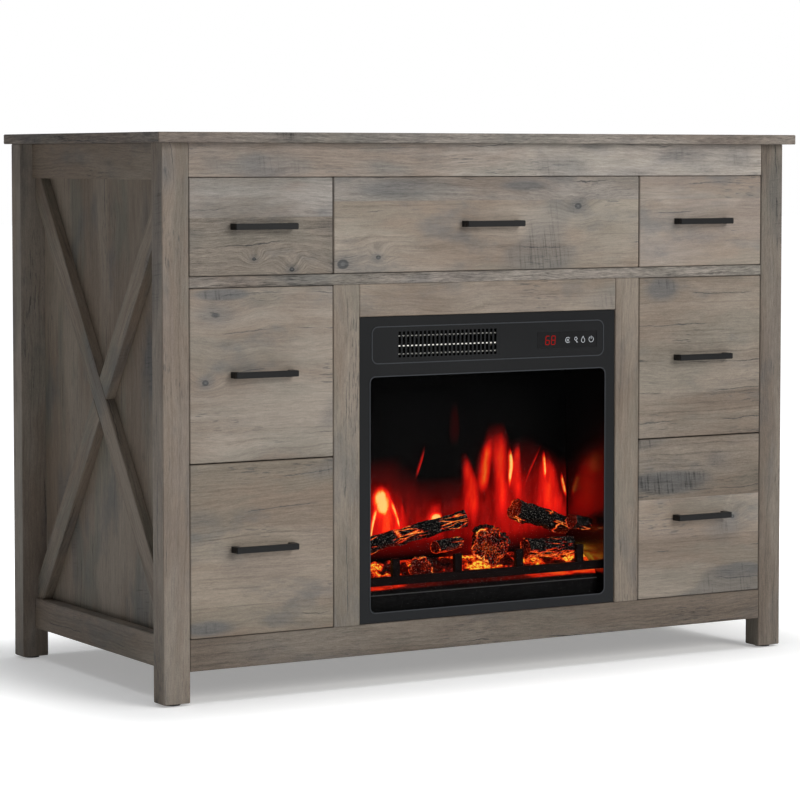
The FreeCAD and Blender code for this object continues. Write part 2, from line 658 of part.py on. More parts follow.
def vent_grille():
    """Slotted outlet plate set in the front frame, with three louvre blades behind it."""
    y0 = Y_FRAME + GRILLE_SETBACK
    y_back = y0 + GRILLE_SHEET
    plate = block((GRILLE_LEFT, y0, GRILLE_LOW), (GRILLE_RIGHT, y_back, GRILLE_HIGH))
    z0 = GRILLE_LOW + GRILLE_MARGIN
    z1 = GRILLE_HIGH - GRILLE_MARGIN
    pitch = (GRILLE_RIGHT - GRILLE_LEFT - 2.0 * GRILLE_MARGIN) / GRILLE_SLOTS
    for index in range(GRILLE_SLOTS):
        x = GRILLE_LEFT + GRILLE_MARGIN + pitch * (index + 0.5) - SLOT_WIDTH / 2.0
        plate = plate.cut(block((x, y0, z0), (x + SLOT_WIDTH, y_back, z1)))
    x0 = GRILLE_LEFT + BRACKET_THICKNESS
    x1 = GRILLE_RIGHT - BRACKET_THICKNESS
    y_louvre = y0 + LOUVRE_SETBACK
    y_end = y_louvre + LOUVRE_DEPTH
    y_bracket = y_end + BRACKET_THICKNESS
    left_bracket = block((GRILLE_LEFT, y_back, GRILLE_LOW), (x0, y_bracket, GRILLE_HIGH))
    right_bracket = block((x1, y_back, GRILLE_LOW), (GRILLE_RIGHT, y_bracket, GRILLE_HIGH))
    louvres = [block((x0, y_louvre, z), (x1, y_end, z + LOUVRE_THICKNESS)) for z in LOUVRE_HEIGHTS]
    return [plate, left_bracket, right_bracket] + louvres


def control_panel():
    """Flush glossy panel with the display and touch keys behind it."""
    y0 = Y_FRAME + CONTROL_SETBACK
    return [block((CONTROL_LEFT, y0, CONTROL_LOW), (CONTROL_RIGHT, y0 + CONTROL_THICKNESS, CONTROL_HIGH))]


def log(start, end, radius):
    """A plain round log between two points."""
    a = FreeCAD.Vector(*start)
    b = FreeCAD.Vector(*end)
    return Part.makeCylinder(radius, a.distanceToPoint(b), a, b - a)


def log_set():
    """Seven logs laid clear of each other on the ember bed."""
    logs = []
    for start, end, radius, _share in LOGS:
        a = (start[0], Y_FRONT + start[1], start[2])
        b = (end[0], Y_FRONT + end[1], end[2])
        logs.append(log(a, b, radius))
    return logs


def ember_bed():
    """Moulded bed of embers, sloping up towards the flame screen, with a seat under each log."""
    y0 = Y_EMBER_FRONT
    y1 = Y_SCREEN - EMBER_REAR_GAP
    half = HOUSING_HALF_WIDTH - EMBER_SIDE_GAP
    outline = [(y0, FIRE_FLOOR), (y1, FIRE_FLOOR), (y1, EMBER_BACK_HEIGHT)]
    outline += [(y0 + EMBER_LIP_DEPTH, EMBER_LIP_HEIGHT), (y0, EMBER_FRONT_HEIGHT)]
    bed = prism_yz(outline, -half, half)
    for start, end, radius, share in LOGS:
        x, y, z = [a + (b - a) * share for a, b in zip(start, end)]
        reach = radius / 2.0
        seat_low = (x - reach, Y_FRONT + y - reach, FIRE_FLOOR)
        bed = bed.fuse(block(seat_low, (x + reach, Y_FRONT + y + reach, z)))
    for piece in log_set():
        bed = bed.cut(piece)
    return [bed.removeSplitter()]


def log_grate():
    """Bar across the front of the fire with upright posts."""
    y1 = Y_EMBER_FRONT - GRATE_GAP
    y0 = y1 - GRATE_BAR_DEPTH
    half = HOUSING_HALF_WIDTH - SHEET
    pieces = [block((-half, y0, GRATE_BAR_LOW), (half, y1, GRATE_BAR_HIGH))]
    reach = GRATE_POST_WIDTH / 2.0
    for x in GRATE_POSTS:
        pieces.append(block((x - reach, y0, GRATE_BAR_HIGH), (x + reach, y1, GRATE_POST_TOP)))
    return pieces


def flame_screen():
    """Smoked screen that the moving light is thrown on."""
    half = HOUSING_HALF_WIDTH - SCREEN_SIDE_GAP
    high = (half, Y_SCREEN + SCREEN_THICKNESS, HEATER_FLOOR - SCREEN_TOP_GAP)
    return [block((-half, Y_SCREEN, FIRE_FLOOR), high)]


def flame_rotor():
    """Thin shaft with foils, each turned on from the last, that flick light up behind the screen."""
    shaft_start = (-ROTOR_HALF_LENGTH, ROTOR_Y, ROTOR_Z)
    rotor = rod(shaft_start, X_AXIS, ROTOR_SHAFT_RADIUS, 2.0 * ROTOR_HALF_LENGTH)
    half = FOIL_THICKNESS / 2.0
    for index in range(ROTOR_FOILS):
        x = FOIL_START + FOIL_PITCH * index
        high = (x + FOIL_WIDTH, ROTOR_Y + ROTOR_RADIUS, ROTOR_Z + half)
        foil = block((x, ROTOR_Y, ROTOR_Z - half), high)
        foil.rotate(FreeCAD.Vector(0, ROTOR_Y, ROTOR_Z), X_AXIS, 360.0 / ROTOR_TURNS * index)
        rotor = rotor.fuse(foil)
    return [rotor.removeSplitter()]


def blower_wheel():
    """Cross-flow wheel: three discs, leaning blades and a shaft."""
    span = WHEEL_RIGHT - WHEEL_LEFT
    shaft_start = (WHEEL_LEFT - WHEEL_SHAFT_LEFT, WHEEL_Y, WHEEL_Z)
    shaft_length = WHEEL_SHAFT_LEFT + span + WHEEL_SHAFT_RIGHT
    wheel = rod(shaft_start, X_AXIS, WHEEL_SHAFT_RADIUS, shaft_length)
    for x in (WHEEL_LEFT, (WHEEL_LEFT + WHEEL_RIGHT) / 2.0, WHEEL_RIGHT - WHEEL_DISC):
        wheel = wheel.fuse(rod((x, WHEEL_Y, WHEEL_Z), X_AXIS, WHEEL_RADIUS, WHEEL_DISC))
    centre = FreeCAD.Vector(WHEEL_LEFT, WHEEL_Y, WHEEL_Z)
    half = BLADE_THICKNESS / 2.0
    for index in range(WHEEL_BLADES):
        low = (WHEEL_LEFT, WHEEL_Y - half, WHEEL_Z + BLADE_INNER)
        blade = block(low, (WHEEL_RIGHT, WHEEL_Y + half, WHEEL_Z + BLADE_OUTER))
        blade.rotate(FreeCAD.Vector(0, WHEEL_Y, WHEEL_Z + BLADE_OUTER), X_AXIS, BLADE_LEAN)
        blade.rotate(centre, X_AXIS, 360.0 / WHEEL_BLADES * index)
        wheel = wheel.fuse(blade)
    return [wheel.removeSplitter()]


def bearing_plate(x, y, z, shaft_radius, floor):
    """Upright plate with a running bore for a shaft, standing on the sheet below."""
    half = BEARING_HALF_WIDTH
    plate = block((x, y - half, floor), (x + BEARING_PLATE, y + half, z + half))
    return plate.cut(rod((x, y, z), X_AXIS, shaft_radius + BEARING_CLEARANCE, BEARING_PLATE))


def blower_motor_parts():
    """Motor can on its saddle, and the bearing at the wheel's far end."""
    shelf = HEATER_FLOOR + SHEET
    x0 = WHEEL_RIGHT + BLOWER_MOTOR_GAP
    x1 = x0 + BLOWER_MOTOR_LENGTH
    bore = rod((x0, WHEEL_Y, WHEEL_Z), X_AXIS, WHEEL_SHAFT_RADIUS + BEARING_CLEARANCE, BLOWER_SHAFT_GRIP)
    can = rod((x0, WHEEL_Y, WHEEL_Z), X_AXIS, BLOWER_MOTOR_RADIUS, BLOWER_MOTOR_LENGTH).cut(bore)
    half = BEARING_HALF_WIDTH
    saddle_low = (x0 + SADDLE_INSET, WHEEL_Y - half, shelf)
    saddle = block(saddle_low, (x1 - SADDLE_INSET, WHEEL_Y + half, WHEEL_Z)).cut(can)
    x_bearing = WHEEL_LEFT - WHEEL_SHAFT_LEFT + BEARING_INSET
    return [can, saddle, bearing_plate(x_bearing, WHEEL_Y, WHEEL_Z, WHEEL_SHAFT_RADIUS, shelf)]


def flame_motor_parts():
    """Small geared motor on a block at the housing wall, and the bearing at the rotor's far end."""
    x0 = ROTOR_HALF_LENGTH - FLAME_GRIP_START
    x1 = x0 + FLAME_MOTOR_LENGTH
    bore = rod((x0, ROTOR_Y, ROTOR_Z), X_AXIS, ROTOR_SHAFT_RADIUS + BEARING_CLEARANCE, FLAME_SHAFT_GRIP)
    can = rod((x0, ROTOR_Y, ROTOR_Z), X_AXIS, FLAME_MOTOR_RADIUS, FLAME_MOTOR_LENGTH).cut(bore)
    half = BEARING_HALF_WIDTH
    wall = HOUSING_HALF_WIDTH - SHEET
    mount = block((x1, ROTOR_Y - half, ROTOR_Z - half), (wall, ROTOR_Y + half, ROTOR_Z + half))
    x_bearing = -ROTOR_HALF_LENGTH + BEARING_INSET
    return [can, mount, bearing_plate(x_bearing, ROTOR_Y, ROTOR_Z, ROTOR_SHAFT_RADIUS, FIRE_FLOOR)]


def motors():
    """Both motors with what carries them, and the far bearing of each shaft."""
    return blower_motor_parts() + flame_motor_parts()


def heater_unit():
    """Duct sheets from the blower to the outlet, and three heating bars between them."""
    x0 = GRILLE_LEFT + DUCT_INSET
    x1 = GRILLE_RIGHT - DUCT_INSET
    y0 = Y_FRAME + DUCT_START
    y1 = WHEEL_Y - WHEEL_RADIUS - DUCT_WHEEL_GAP
    z0 = GRILLE_LOW - DUCT_CLEARANCE - DUCT_SHEET
    z1 = GRILLE_HIGH + DUCT_CLEARANCE + DUCT_SHEET
    floor = HEATER_FLOOR + SHEET
    lower = block((x0, y0, z0), (x1, y1, z0 + DUCT_SHEET))
    upper = block((x0, y0, z1 - DUCT_SHEET), (x1, y1, z1))
    left = block((x0 - DUCT_SHEET, y0, floor), (x0, y1, z1))
    right = block((x1, y0, floor), (x1 + DUCT_SHEET, y1, z1))
    y_bar = y0 + ELEMENT_DEPTH / 2.0
    bars = [block((x0, y_bar, z), (x1, y_bar + ELEMENT_DEPTH, z + ELEMENT_HEIGHT)) for z in ELEMENT_HEIGHTS]
    return [lower, upper, left, right] + bars


def control_board():
    """Board behind the touch panel, on two spacers."""
    inset = SPACER_RADIUS
    x0 = CONTROL_LEFT + inset
    x1 = CONTROL_RIGHT - inset
    y0 = Y_FRAME + CONTROL_BOARD_SETBACK
    board = block((x0, y0, CONTROL_BOARD_LOW), (x1, y0 + BOARD_SHEET, CONTROL_BOARD_HIGH))
    y_panel = Y_FRAME + CONTROL_SETBACK + CONTROL_THICKNESS
    z = (CONTROL_LOW + CONTROL_HIGH) / 2.0
    reach = 2.0 * SPACER_RADIUS
    spacers = [rod((x, y_panel, z), Y_AXIS, SPACER_RADIUS, y0 - y_panel) for x in (x0 + reach, x1 - reach)]
    return [board] + spacers


def power_board():
    """Board on four feet on the heater shelf, with a relay and a capacitor."""
    shelf = HEATER_FLOOR + SHEET
    z0 = shelf + BOARD_FOOT
    z1 = z0 + BOARD_SHEET
    x0, y0 = POWER_BOARD_LOW
    x1, y1 = POWER_BOARD_HIGH
    pieces = [block((x0, Y_FRONT + y0, z0), (x1, Y_FRONT + y1, z1))]
    for x in (x0 + BOARD_FOOT_INSET, x1 - BOARD_FOOT_INSET):
        for y in (y0 + BOARD_FOOT_INSET, y1 - BOARD_FOOT_INSET):
            pieces.append(rod((x, Y_FRONT + y, shelf), Z_AXIS, BOARD_FOOT_RADIUS, BOARD_FOOT))
    relay_low = (RELAY_LOW[0], Y_FRONT + RELAY_LOW[1], z1)
    pieces.append(block(relay_low, (RELAY_HIGH[0], Y_FRONT + RELAY_HIGH[1], z1 + RELAY_HEIGHT)))
    x, y = CAPACITOR_PLACE
    pieces.append(rod((x, Y_FRONT + y, z1), Z_AXIS, CAPACITOR_RADIUS, CAPACITOR_HEIGHT))
    return pieces


def lamp_strip():
    """Strip of small lamps on the fire's floor, under the rotor."""
    half = LAMP_STRIP_HALF_WIDTH
    z0 = FIRE_FLOOR + BOARD_SHEET
    low = (-LAMP_STRIP_HALF_LENGTH, ROTOR_Y - half, FIRE_FLOOR)
    pieces = [block(low, (LAMP_STRIP_HALF_LENGTH, ROTOR_Y + half, z0))]
    size = LAMP_HALF_SIZE
    for index in range(LAMP_COUNT):
        x = LAMP_PITCH * (index - (LAMP_COUNT - 1) / 2.0)
        lamp = block((x - size, ROTOR_Y - size, z0), (x + size, ROTOR_Y + size, z0 + LAMP_HEIGHT))
        pieces.append(lamp)
    return pieces


def circuit_boards():
    return control_board() + power_board() + lamp_strip()


# ---------------------------------------------------------------- write every sub-part
def main():
    os.makedirs("parts", exist_ok=True)
    cabinet = [
        top_panel, legs, foot_glides, front_rails, side_rails, rear_rails, deck_panel, bottom_panel,
        stiles, fireplace_header, side_panels, cross_braces, partitions, back_panels, cabinet_screws,
        cabinet_slides,
    ]
    insert = [
        insert_frame, insert_glass, insert_housing, insert_rear_cover, cord_gland, vent_grille,
        control_panel, log_set, ember_bed, log_grate, flame_screen, flame_rotor, blower_wheel, motors,
        heater_unit, circuit_boards,
    ]
    for maker in cabinet + insert:
        save(maker.__name__, maker())
    for name, opening, walls, height in drawer_plan():
        save(name + "_front", drawer_front(opening))
        save(name + "_box", drawer_box(opening, walls, height))
        save(name + "_pull", drawer_pull(opening))
        save(name + "_runners", drawer_runners(opening, walls, height))


main()
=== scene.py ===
"""Looks of a mantel cabinet with seven drawers and an electric fireplace insert.

Metres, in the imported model's own frame: +X right seen from the front, +Y to the back, +Z up.
"""
import json
import math

import bmesh
import bpy
from mathutils import Matrix, Vector, noise


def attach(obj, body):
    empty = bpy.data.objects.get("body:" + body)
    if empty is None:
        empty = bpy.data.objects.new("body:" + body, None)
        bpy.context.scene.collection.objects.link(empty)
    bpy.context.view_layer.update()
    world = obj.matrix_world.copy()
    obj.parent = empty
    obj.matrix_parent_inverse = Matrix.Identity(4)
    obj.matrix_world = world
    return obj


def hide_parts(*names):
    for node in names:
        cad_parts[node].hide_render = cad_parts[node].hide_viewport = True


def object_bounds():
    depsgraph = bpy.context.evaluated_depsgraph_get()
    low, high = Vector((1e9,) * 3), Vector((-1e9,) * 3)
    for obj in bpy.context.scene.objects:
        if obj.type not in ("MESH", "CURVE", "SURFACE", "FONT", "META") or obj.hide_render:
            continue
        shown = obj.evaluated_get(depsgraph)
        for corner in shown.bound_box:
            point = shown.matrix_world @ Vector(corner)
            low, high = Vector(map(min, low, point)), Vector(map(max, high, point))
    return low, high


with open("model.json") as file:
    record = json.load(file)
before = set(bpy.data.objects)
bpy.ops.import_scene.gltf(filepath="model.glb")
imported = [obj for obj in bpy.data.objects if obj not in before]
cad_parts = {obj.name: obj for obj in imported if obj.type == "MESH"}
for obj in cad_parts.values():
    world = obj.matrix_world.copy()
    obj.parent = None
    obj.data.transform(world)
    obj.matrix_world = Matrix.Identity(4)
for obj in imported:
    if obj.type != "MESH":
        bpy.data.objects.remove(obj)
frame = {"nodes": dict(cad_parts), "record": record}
cad_low, cad_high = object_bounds()
NODES = frame["nodes"]
BODY_OF = {node: body for body, members in frame["record"]["behaviour"]["bodies"].items() for node in members}
MM = 0.001


# ---------------------------------------------------------------- shader graphs
class Graph:
    """A material's node tree, with one short method for each kind of node it needs."""

    def __init__(self, name):
        self.material = bpy.data.materials.new(name)
        self.material.use_nodes = True
        self.tree = self.material.node_tree
        self.tree.nodes.clear()
        self.output = self.tree.nodes.new("ShaderNodeOutputMaterial")

    def put(self, socket, value):
        if isinstance(value, bpy.types.NodeSocket):
            self.tree.links.new(value, socket)
        elif socket.type == "RGBA" and len(value) == 3:
            socket.default_value = (*value, 1.0)
        else:
            socket.default_value = value

    def node(self, kind, inputs=None, **settings):
        made = self.tree.nodes.new(kind)
        for key, value in settings.items():
            setattr(made, key, value)
        for key, value in (inputs or {}).items():
            self.put(made.inputs[key], value)
        return made

    def math(self, operation, a, b=0.0, c=0.0, clamp=False):
        made = self.node("ShaderNodeMath", {0: a, 1: b, 2: c}, operation=operation, use_clamp=clamp)
        return made.outputs[0]

    def times(self, a, b, clamp=False):
        return self.math("MULTIPLY", a, b, clamp=clamp)

    def times_add(self, a, b, c, clamp=False):
        return self.math("MULTIPLY_ADD", a, b, c, clamp)

    def larger(self, a, b):
        return self.math("MAXIMUM", a, b)

    def away(self, value):
        """How far a value is from nought."""
        return self.math("ABSOLUTE", value)

    def swing(self, value, amount, base):
        """base, moved up or down as a value between 0 and 1 differs from its middle."""
        return self.times_add(self.math("SUBTRACT", value, 0.5), amount, base)

    def shaded(self, colour, shade):
        """A colour made darker or lighter."""
        return self.mix(1.0, colour, self.grey(shade), "MULTIPLY")

    def stretched(self, scale):
        """The place on the object, scaled by axis."""
        return self.vector("MULTIPLY", self.object_place(), scale)

    def gap(self, a, b=(0.0, 0.0, 0.0)):
        """Distance between two places."""
        return self.node("ShaderNodeVectorMath", {0: a, 1: b}, operation="DISTANCE").outputs["Value"]

    def vector(self, operation, a, b=(0.0, 0.0, 0.0)):
        return self.node("ShaderNodeVectorMath", {0: a, 1: b}, operation=operation).outputs[0]

    def combine(self, x, y, z=0.0):
        return self.node("ShaderNodeCombineXYZ", {0: x, 1: y, 2: z}).outputs[0]

    def grey(self, level):
        return self.combine(level, level, level)

    def split(self, vector):
        return self.node("ShaderNodeSeparateXYZ", {0: vector}).outputs

    def noise(self, vector, scale=1.0, detail=2.0, roughness=0.5):
        inputs = {"Vector": vector, "Scale": scale, "Detail": detail, "Roughness": roughness}
        return self.node("ShaderNodeTexNoise", inputs).outputs["Fac"]

    def voronoi(self, vector, scale=1.0, randomness=1.0, feature="F1"):
        inputs = {"Vector": vector, "Scale": scale, "Randomness": randomness}
        return self.node("ShaderNodeTexVoronoi", inputs, feature=feature).outputs

    def to_split(self, along, around):
        """Distance from the nearest split between scales of bark."""
        return self.voronoi(self.combine(along, around), feature="DISTANCE_TO_EDGE")["Distance"]

    def between(self, value, low, low_full, high_full, high):
        """1 between two bounds, fading outside them."""
        return self.times(self.remap(value, low, low_full), self.remap(value, high, high_full))

    def chance(self, vector):
        return self.node("ShaderNodeTexWhiteNoise", {"Vector": vector}).outputs["Value"]

    def remap(self, value, low, high, to_low=0.0, to_high=1.0):
        inputs = {"Value": value, "From Min": low, "From Max": high, "To Min": to_low, "To Max": to_high}
        return self.node("ShaderNodeMapRange", inputs, interpolation_type="SMOOTHSTEP").outputs[0]

    def mix(self, share, a, b, blend="MIX"):
        made = self.node("ShaderNodeMix", data_type="RGBA", blend_type=blend)
        self.put(made.inputs[0], share)
        self.put(made.inputs[6], a)
        self.put(made.inputs[7], b)
        return made.outputs[2]

    def ramp(self, value, stops):
        made = self.node("ShaderNodeValToRGB", {0: value})
        elements = made.color_ramp.elements
        elements[0].position = stops[0][0]
        elements[-1].position = stops[-1][0]
        for place, _colour in stops[1:-1]:
            elements.new(place)
        for element, (_place, colour) in zip(elements, stops):
            element.color = (*colour, 1.0)
        return made.outputs[0]

    def attribute(self, name):
        return self.node("ShaderNodeAttribute", attribute_name=name, attribute_type="GEOMETRY").outputs

    def object_place(self):
        return self.node("ShaderNodeTexCoord").outputs["Object"]

    def bump(self, height, strength, distance):
        inputs = {"Height": height, "Strength": strength, "Distance": distance}
        return self.node("ShaderNodeBump", inputs).outputs[0]

    def principled(self, **inputs):
        named = {key.replace("_", " "): value for key, value in inputs.items()}
        return self.node("ShaderNodeBsdfPrincipled", named).outputs[0]

    def emission(self, colour, strength):
        return self.node("ShaderNodeEmission", {"Color": colour, "Strength": strength}).outputs[0]

    def finish(self, shader):
        self.tree.links.new(shader, self.output.inputs["Surface"])
        return self.material

    def surface(self, **inputs):
        return self.finish(self.principled(**inputs))


# colours of the printed wood: pale, brown, tan, olive, slate and mauve
PRINT_INKS = (
    (0.300, 0.270, 0.238),
    (0.222, 0.178, 0.144),
    (0.280, 0.236, 0.196),
    (0.196, 0.188, 0.160),
    (0.120, 0.122, 0.124),
    (0.205, 0.170, 0.152),
)
PLANK_WIDTH = 0.098
# the knots' growth rings are longer than they are high by this much
KNOT_STRETCH = 1.35
KNOT_REACH = 0.046                   # of the knot pattern, for a knot's own radius


def weathered_wood(name, warmth=0.5, smudge=1.0, tone=1.0, planks=True, knots=(), stains=()):
    """Printed weathered oak: growth lines that bend round knots, thin cracks, ticks and grey smudges."""
    g = Graph(name)
    along, across, seed = g.split(g.attribute("grain")["Vector"])
    board_tone_and_shade, board_warmth, sawn = g.split(g.attribute("finish")["Vector"])

    def at(stretch_along, stretch_across, shift=0.0, height=across):
        return g.combine(
            g.times(along, stretch_along),
            g.times(height, stretch_across),
            g.math("ADD", seed, shift),
        )

    def blotch(stretch_along, stretch_across, shift, low, high, detail=2.0):
        return g.remap(g.noise(at(stretch_along, stretch_across, shift), 1.0, detail, 0.6), low, high)

    def darken(mask, amount, shade):
        return g.times_add(mask, -amount, shade)

    # knots push the growth lines aside, so that some of them close into rings
    knot_field = g.voronoi(at(4.0, 8.0, 4.0), 1.0, 0.9)
    knot_missing = g.math("LESS_THAN", g.split(knot_field["Color"])[0], 0.52)
    knot_distance = g.times_add(knot_missing, 10.0, knot_field["Distance"])
    place = g.stretched((1.0, 0.0, KNOT_STRETCH))
    for x, z, radius in knots:
        reach = g.gap(place, (x * MM, 0.0, KNOT_STRETCH * z * MM))
        knot_distance = g.math("MINIMUM", knot_distance, g.times(reach, KNOT_REACH / (radius * MM)))
    bulge = g.remap(knot_distance, 0.42, 0.0)
    line = g.times_add(g.noise(at(2.0, 6.0, 1.0), 1.0, 3.0), 0.045, across)
    line = g.times_add(g.noise(at(13.0, 26.0, 2.0), 1.0, 4.0, 0.6), 0.009, line)
    line = g.times_add(bulge, 0.015, line)

    bands = g.noise(at(2.5, 38.0, 11.0, line), 1.0, 3.0, 0.6)
    grain = g.noise(at(15.0, 300.0, 12.0, line), 1.0, 4.0, 0.7)
    fine = g.noise(at(70.0, 760.0, 13.0, line), 1.0, 3.0, 0.7)
    speck = g.noise(at(500.0, 800.0, 14.0), 1.0, 2.0)

    # colour zones run with the grain
    zone = g.noise(at(2.6, 11.0, 21.0, line), 1.0, 4.0, 0.6)
    zone_b = g.noise(at(4.0, 14.0, 27.0, line), 1.0, 4.0, 0.6)
    pale, brown, tan, olive, slate, mauve = (tuple(part * tone for part in ink) for ink in PRINT_INKS)
    light = g.mix(board_warmth, pale, tan)
    colour = g.mix(g.remap(zone, 0.40, 0.62), light, brown)
    colour = g.mix(g.times(g.remap(zone_b, 0.50, 0.64), 0.20 + 0.6 * (1.0 - warmth)), colour, olive)
    colour = g.mix(g.times(g.remap(zone_b, 0.46, 0.32), 0.65 * warmth), colour, mauve)
    tint = g.mix(board_warmth, (0.97, 1.0, 1.05), (1.03, 0.985, 0.90))
    colour = g.mix(1.0, colour, tint, "MULTIPLY")
    # the board's tone, which on a few boards is painted shade
    shade = g.swing(bands, 0.42, board_tone_and_shade)
    shade = g.swing(grain, g.times_add(sawn, 1.3, 0.62), shade)
    shade = g.swing(fine, g.times_add(sawn, 1.2, 0.72), shade)
    shade = g.swing(speck, 0.45, shade)

    # growth lines: thin and brown, coming and going
    wide_wave = g.math("SINE", g.times(line, 440.0))
    wide_line = g.times(g.remap(wide_wave, 0.70, 0.99), blotch(3.5, 24.0, 31.0, 0.44, 0.62))
    shade = darken(wide_line, 0.14, shade)
    tight_wave = g.math("SINE", g.times(line, 1130.0))
    tight_line = g.times(g.remap(tight_wave, 0.2, 1.0), blotch(5.0, 17.0, 34.0, 0.46, 0.64))
    shade = darken(tight_line, 0.11, shade)

    if planks:
        plank_place = g.math("ADD", across, g.times(seed, 0.37))
        plank_row = g.math("DIVIDE", plank_place, PLANK_WIDTH)
        row = g.math("FLOOR", plank_row)
        joint_here = g.chance(g.combine(row, seed, 3.0))
        plank_tone = g.chance(g.combine(row, seed, 9.0))
        shade = g.swing(plank_tone, 0.24, shade)
        edge = g.away(g.math("SUBTRACT", g.math("FRACT", plank_row), 0.5))
        joint = g.times(g.remap(edge, 0.492, 0.4985), g.math("GREATER_THAN", joint_here, 0.50))
        shade = darken(g.times(joint, blotch(9.0, 3.0, 41.0, 0.44, 0.56)), 0.30, shade)
    else:
        shade = g.swing(g.noise(at(0.8, 4.0, 41.0), 1.0, 1.0), 0.10, shade)

    # blue-grey smudges, broken up by saw marks across the grain
    patch = g.noise(at(7.0, 15.0, 51.0), 1.0, 5.0, 0.6)
    patch_mask = g.times(g.remap(patch, 0.52, 0.72), 0.62 * smudge, clamp=True)
    leaning = g.times_add(across, 0.12, along)
    saw = g.noise(g.combine(g.times(leaning, 330.0), g.times(across, 14.0), seed), 1.0, 2.0)
    saw_place = g.noise(at(4.5, 9.0, 57.0), 1.0, 2.0)
    for x, z, reach_x, reach_z in stains:
        scaled = g.stretched((1000.0 / reach_x, 0.0, 1000.0 / reach_z))
        reach = g.gap(scaled, (x / reach_x, 0.0, z / reach_z))
        stain = g.times(g.remap(reach, 1.0, 0.35), g.remap(patch, 0.30, 0.52, 0.35, 1.0))
        patch_mask = g.larger(patch_mask, g.times(stain, 0.66))
        saw_place = g.times_add(stain, 0.16, saw_place)
    saw_mask = g.times(g.remap(saw, 0.52, 0.70), g.remap(saw_place, 0.62, 0.70))
    colour = g.mix(patch_mask, colour, slate)
    colour = g.mix(g.times(g.remap(saw_place, 0.58, 0.68), 0.45 * smudge), colour, slate)
    shade = darken(saw_mask, 0.36 * smudge, shade)

    # knots: a small grey heart in a dark ring, in a stained halo
    heart = g.remap(knot_distance, 0.056, 0.040)
    heart_middle = g.remap(knot_distance, 0.026, 0.012)
    halo = g.remap(knot_distance, 0.20, 0.03)
    colour = g.mix(g.times(halo, 0.50), colour, slate)
    colour = g.mix(g.times(heart, 0.9), colour, slate)
    shade = darken(heart, 0.46, shade)
    shade = darken(heart_middle, -0.34, shade)

    # thin dark cracks along the growth lines, and clusters of short ticks
    rough_line = g.times_add(g.noise(at(95.0, 160.0, 70.0), 1.0, 2.0), 0.0035, line)
    crack_wave = g.away(g.math("SINE", g.times_add(rough_line, 62.0, seed)))
    crack = g.times(g.remap(crack_wave, 0.058, 0.012), blotch(8.0, 9.0, 75.0, 0.53, 0.60))
    tick_cluster = g.larger(blotch(6.0, 15.0, 66.0, 0.55, 0.66), g.times(halo, 0.8))
    tick = g.times(blotch(48.0, 430.0, 61.0, 0.58, 0.66, 1.0), tick_cluster)
    mark = g.larger(crack, g.times(tick, 0.62))
    colour = g.mix(g.times(mark, 0.7), colour, slate)
    shade = darken(mark, 0.40, shade)

    shade = g.larger(shade, 0.12)
    colour = g.shaded(colour, shade)
    relief = g.times_add(fine, 0.5, grain)
    relief = g.times_add(mark, -1.5, relief)
    rough = g.remap(grain, 0.2, 0.8, 0.62, 0.50)
    normal = g.bump(relief, 0.35, 0.00025)
    return g.surface(Base_Color=colour, Roughness=rough, Normal=normal, Specular_IOR_Level=0.3)


def plain_board(name, colour, streak=0.25):
    """Pale foil-covered board, as inside the drawers and on the back."""
    g = Graph(name)
    along, across, seed = g.split(g.attribute("grain")["Vector"])
    place = g.combine(g.times(along, 7.0), g.times(across, 240.0), seed)
    lines = g.noise(place, 1.0, 3.0, 0.6)
    cloud = g.noise(g.combine(along, g.times(across, 9.0), seed), 2.0, 3.0)
    shade = g.swing(lines, streak, 1.0)
    shade = g.swing(cloud, streak, shade)
    colour = g.shaded(colour, shade)
    normal = g.bump(lines, 0.2, 0.0002)
    return g.surface(Base_Color=colour, Roughness=g.remap(lines, 0.2, 0.8, 0.6, 0.5), Normal=normal)


def coated_metal(name, colour, roughness, gloss=0.5, mottle=0.12, fleck=900.0):
    """Powder-coated steel: a fine orange-peel skin with slight cloudiness."""
    g = Graph(name)
    place = g.object_place()
    peel = g.noise(place, fleck, 2.0)
    cloud = g.noise(place, 9.0, 3.0)
    shade = g.swing(cloud, mottle, 1.0)
    colour = g.shaded(colour, shade)
    rough = g.remap(cloud, 0.3, 0.7, roughness - 0.04, roughness + 0.05)
    normal = g.bump(peel, 0.12, 0.0002)
    return g.surface(Base_Color=colour, Roughness=rough, Normal=normal, Specular_IOR_Level=gloss)


def bare_metal(name, colour, roughness, brushed):
    """Zinc-plated or brushed sheet, with fine lines along its length."""
    g = Graph(name)
    lines = g.noise(g.stretched(brushed), 1.0, 2.0)
    spangle = g.split(g.voronoi(g.object_place(), 55.0)["Color"])[0]
    shade = g.swing(lines, 0.25, 0.95)
    shade = g.swing(spangle, 0.10, shade)
    colour = g.shaded(colour, shade)
    rough = g.remap(lines, 0.3, 0.7, roughness - 0.06, roughness + 0.08)
    return g.surface(Base_Color=colour, Metallic=1.0, Roughness=rough, Normal=g.bump(lines, 0.1, 0.0001))


def moulded_plastic(name, colour, roughness, texture=1400.0):
    g = Graph(name)
    place = g.object_place()
    grain = g.noise(place, texture, 2.0)
    cloud = g.noise(place, 14.0, 2.0)
    shade = g.swing(cloud, 0.15, 1.0)
    colour = g.shaded(colour, shade)
    rough = g.remap(grain, 0.3, 0.7, roughness - 0.03, roughness + 0.04)
    return g.surface(Base_Color=colour, Roughness=rough, Normal=g.bump(grain, 0.15, 0.0002))


# ---------------------------------------------------------------- geometry from the frame
WELD_DISTANCE = 1e-6
FLAT_ANGLE = 0.001
SHARP_ANGLE = 0.5
SORT_DIRECTION = Vector((1.0, 7.3, 53.1))


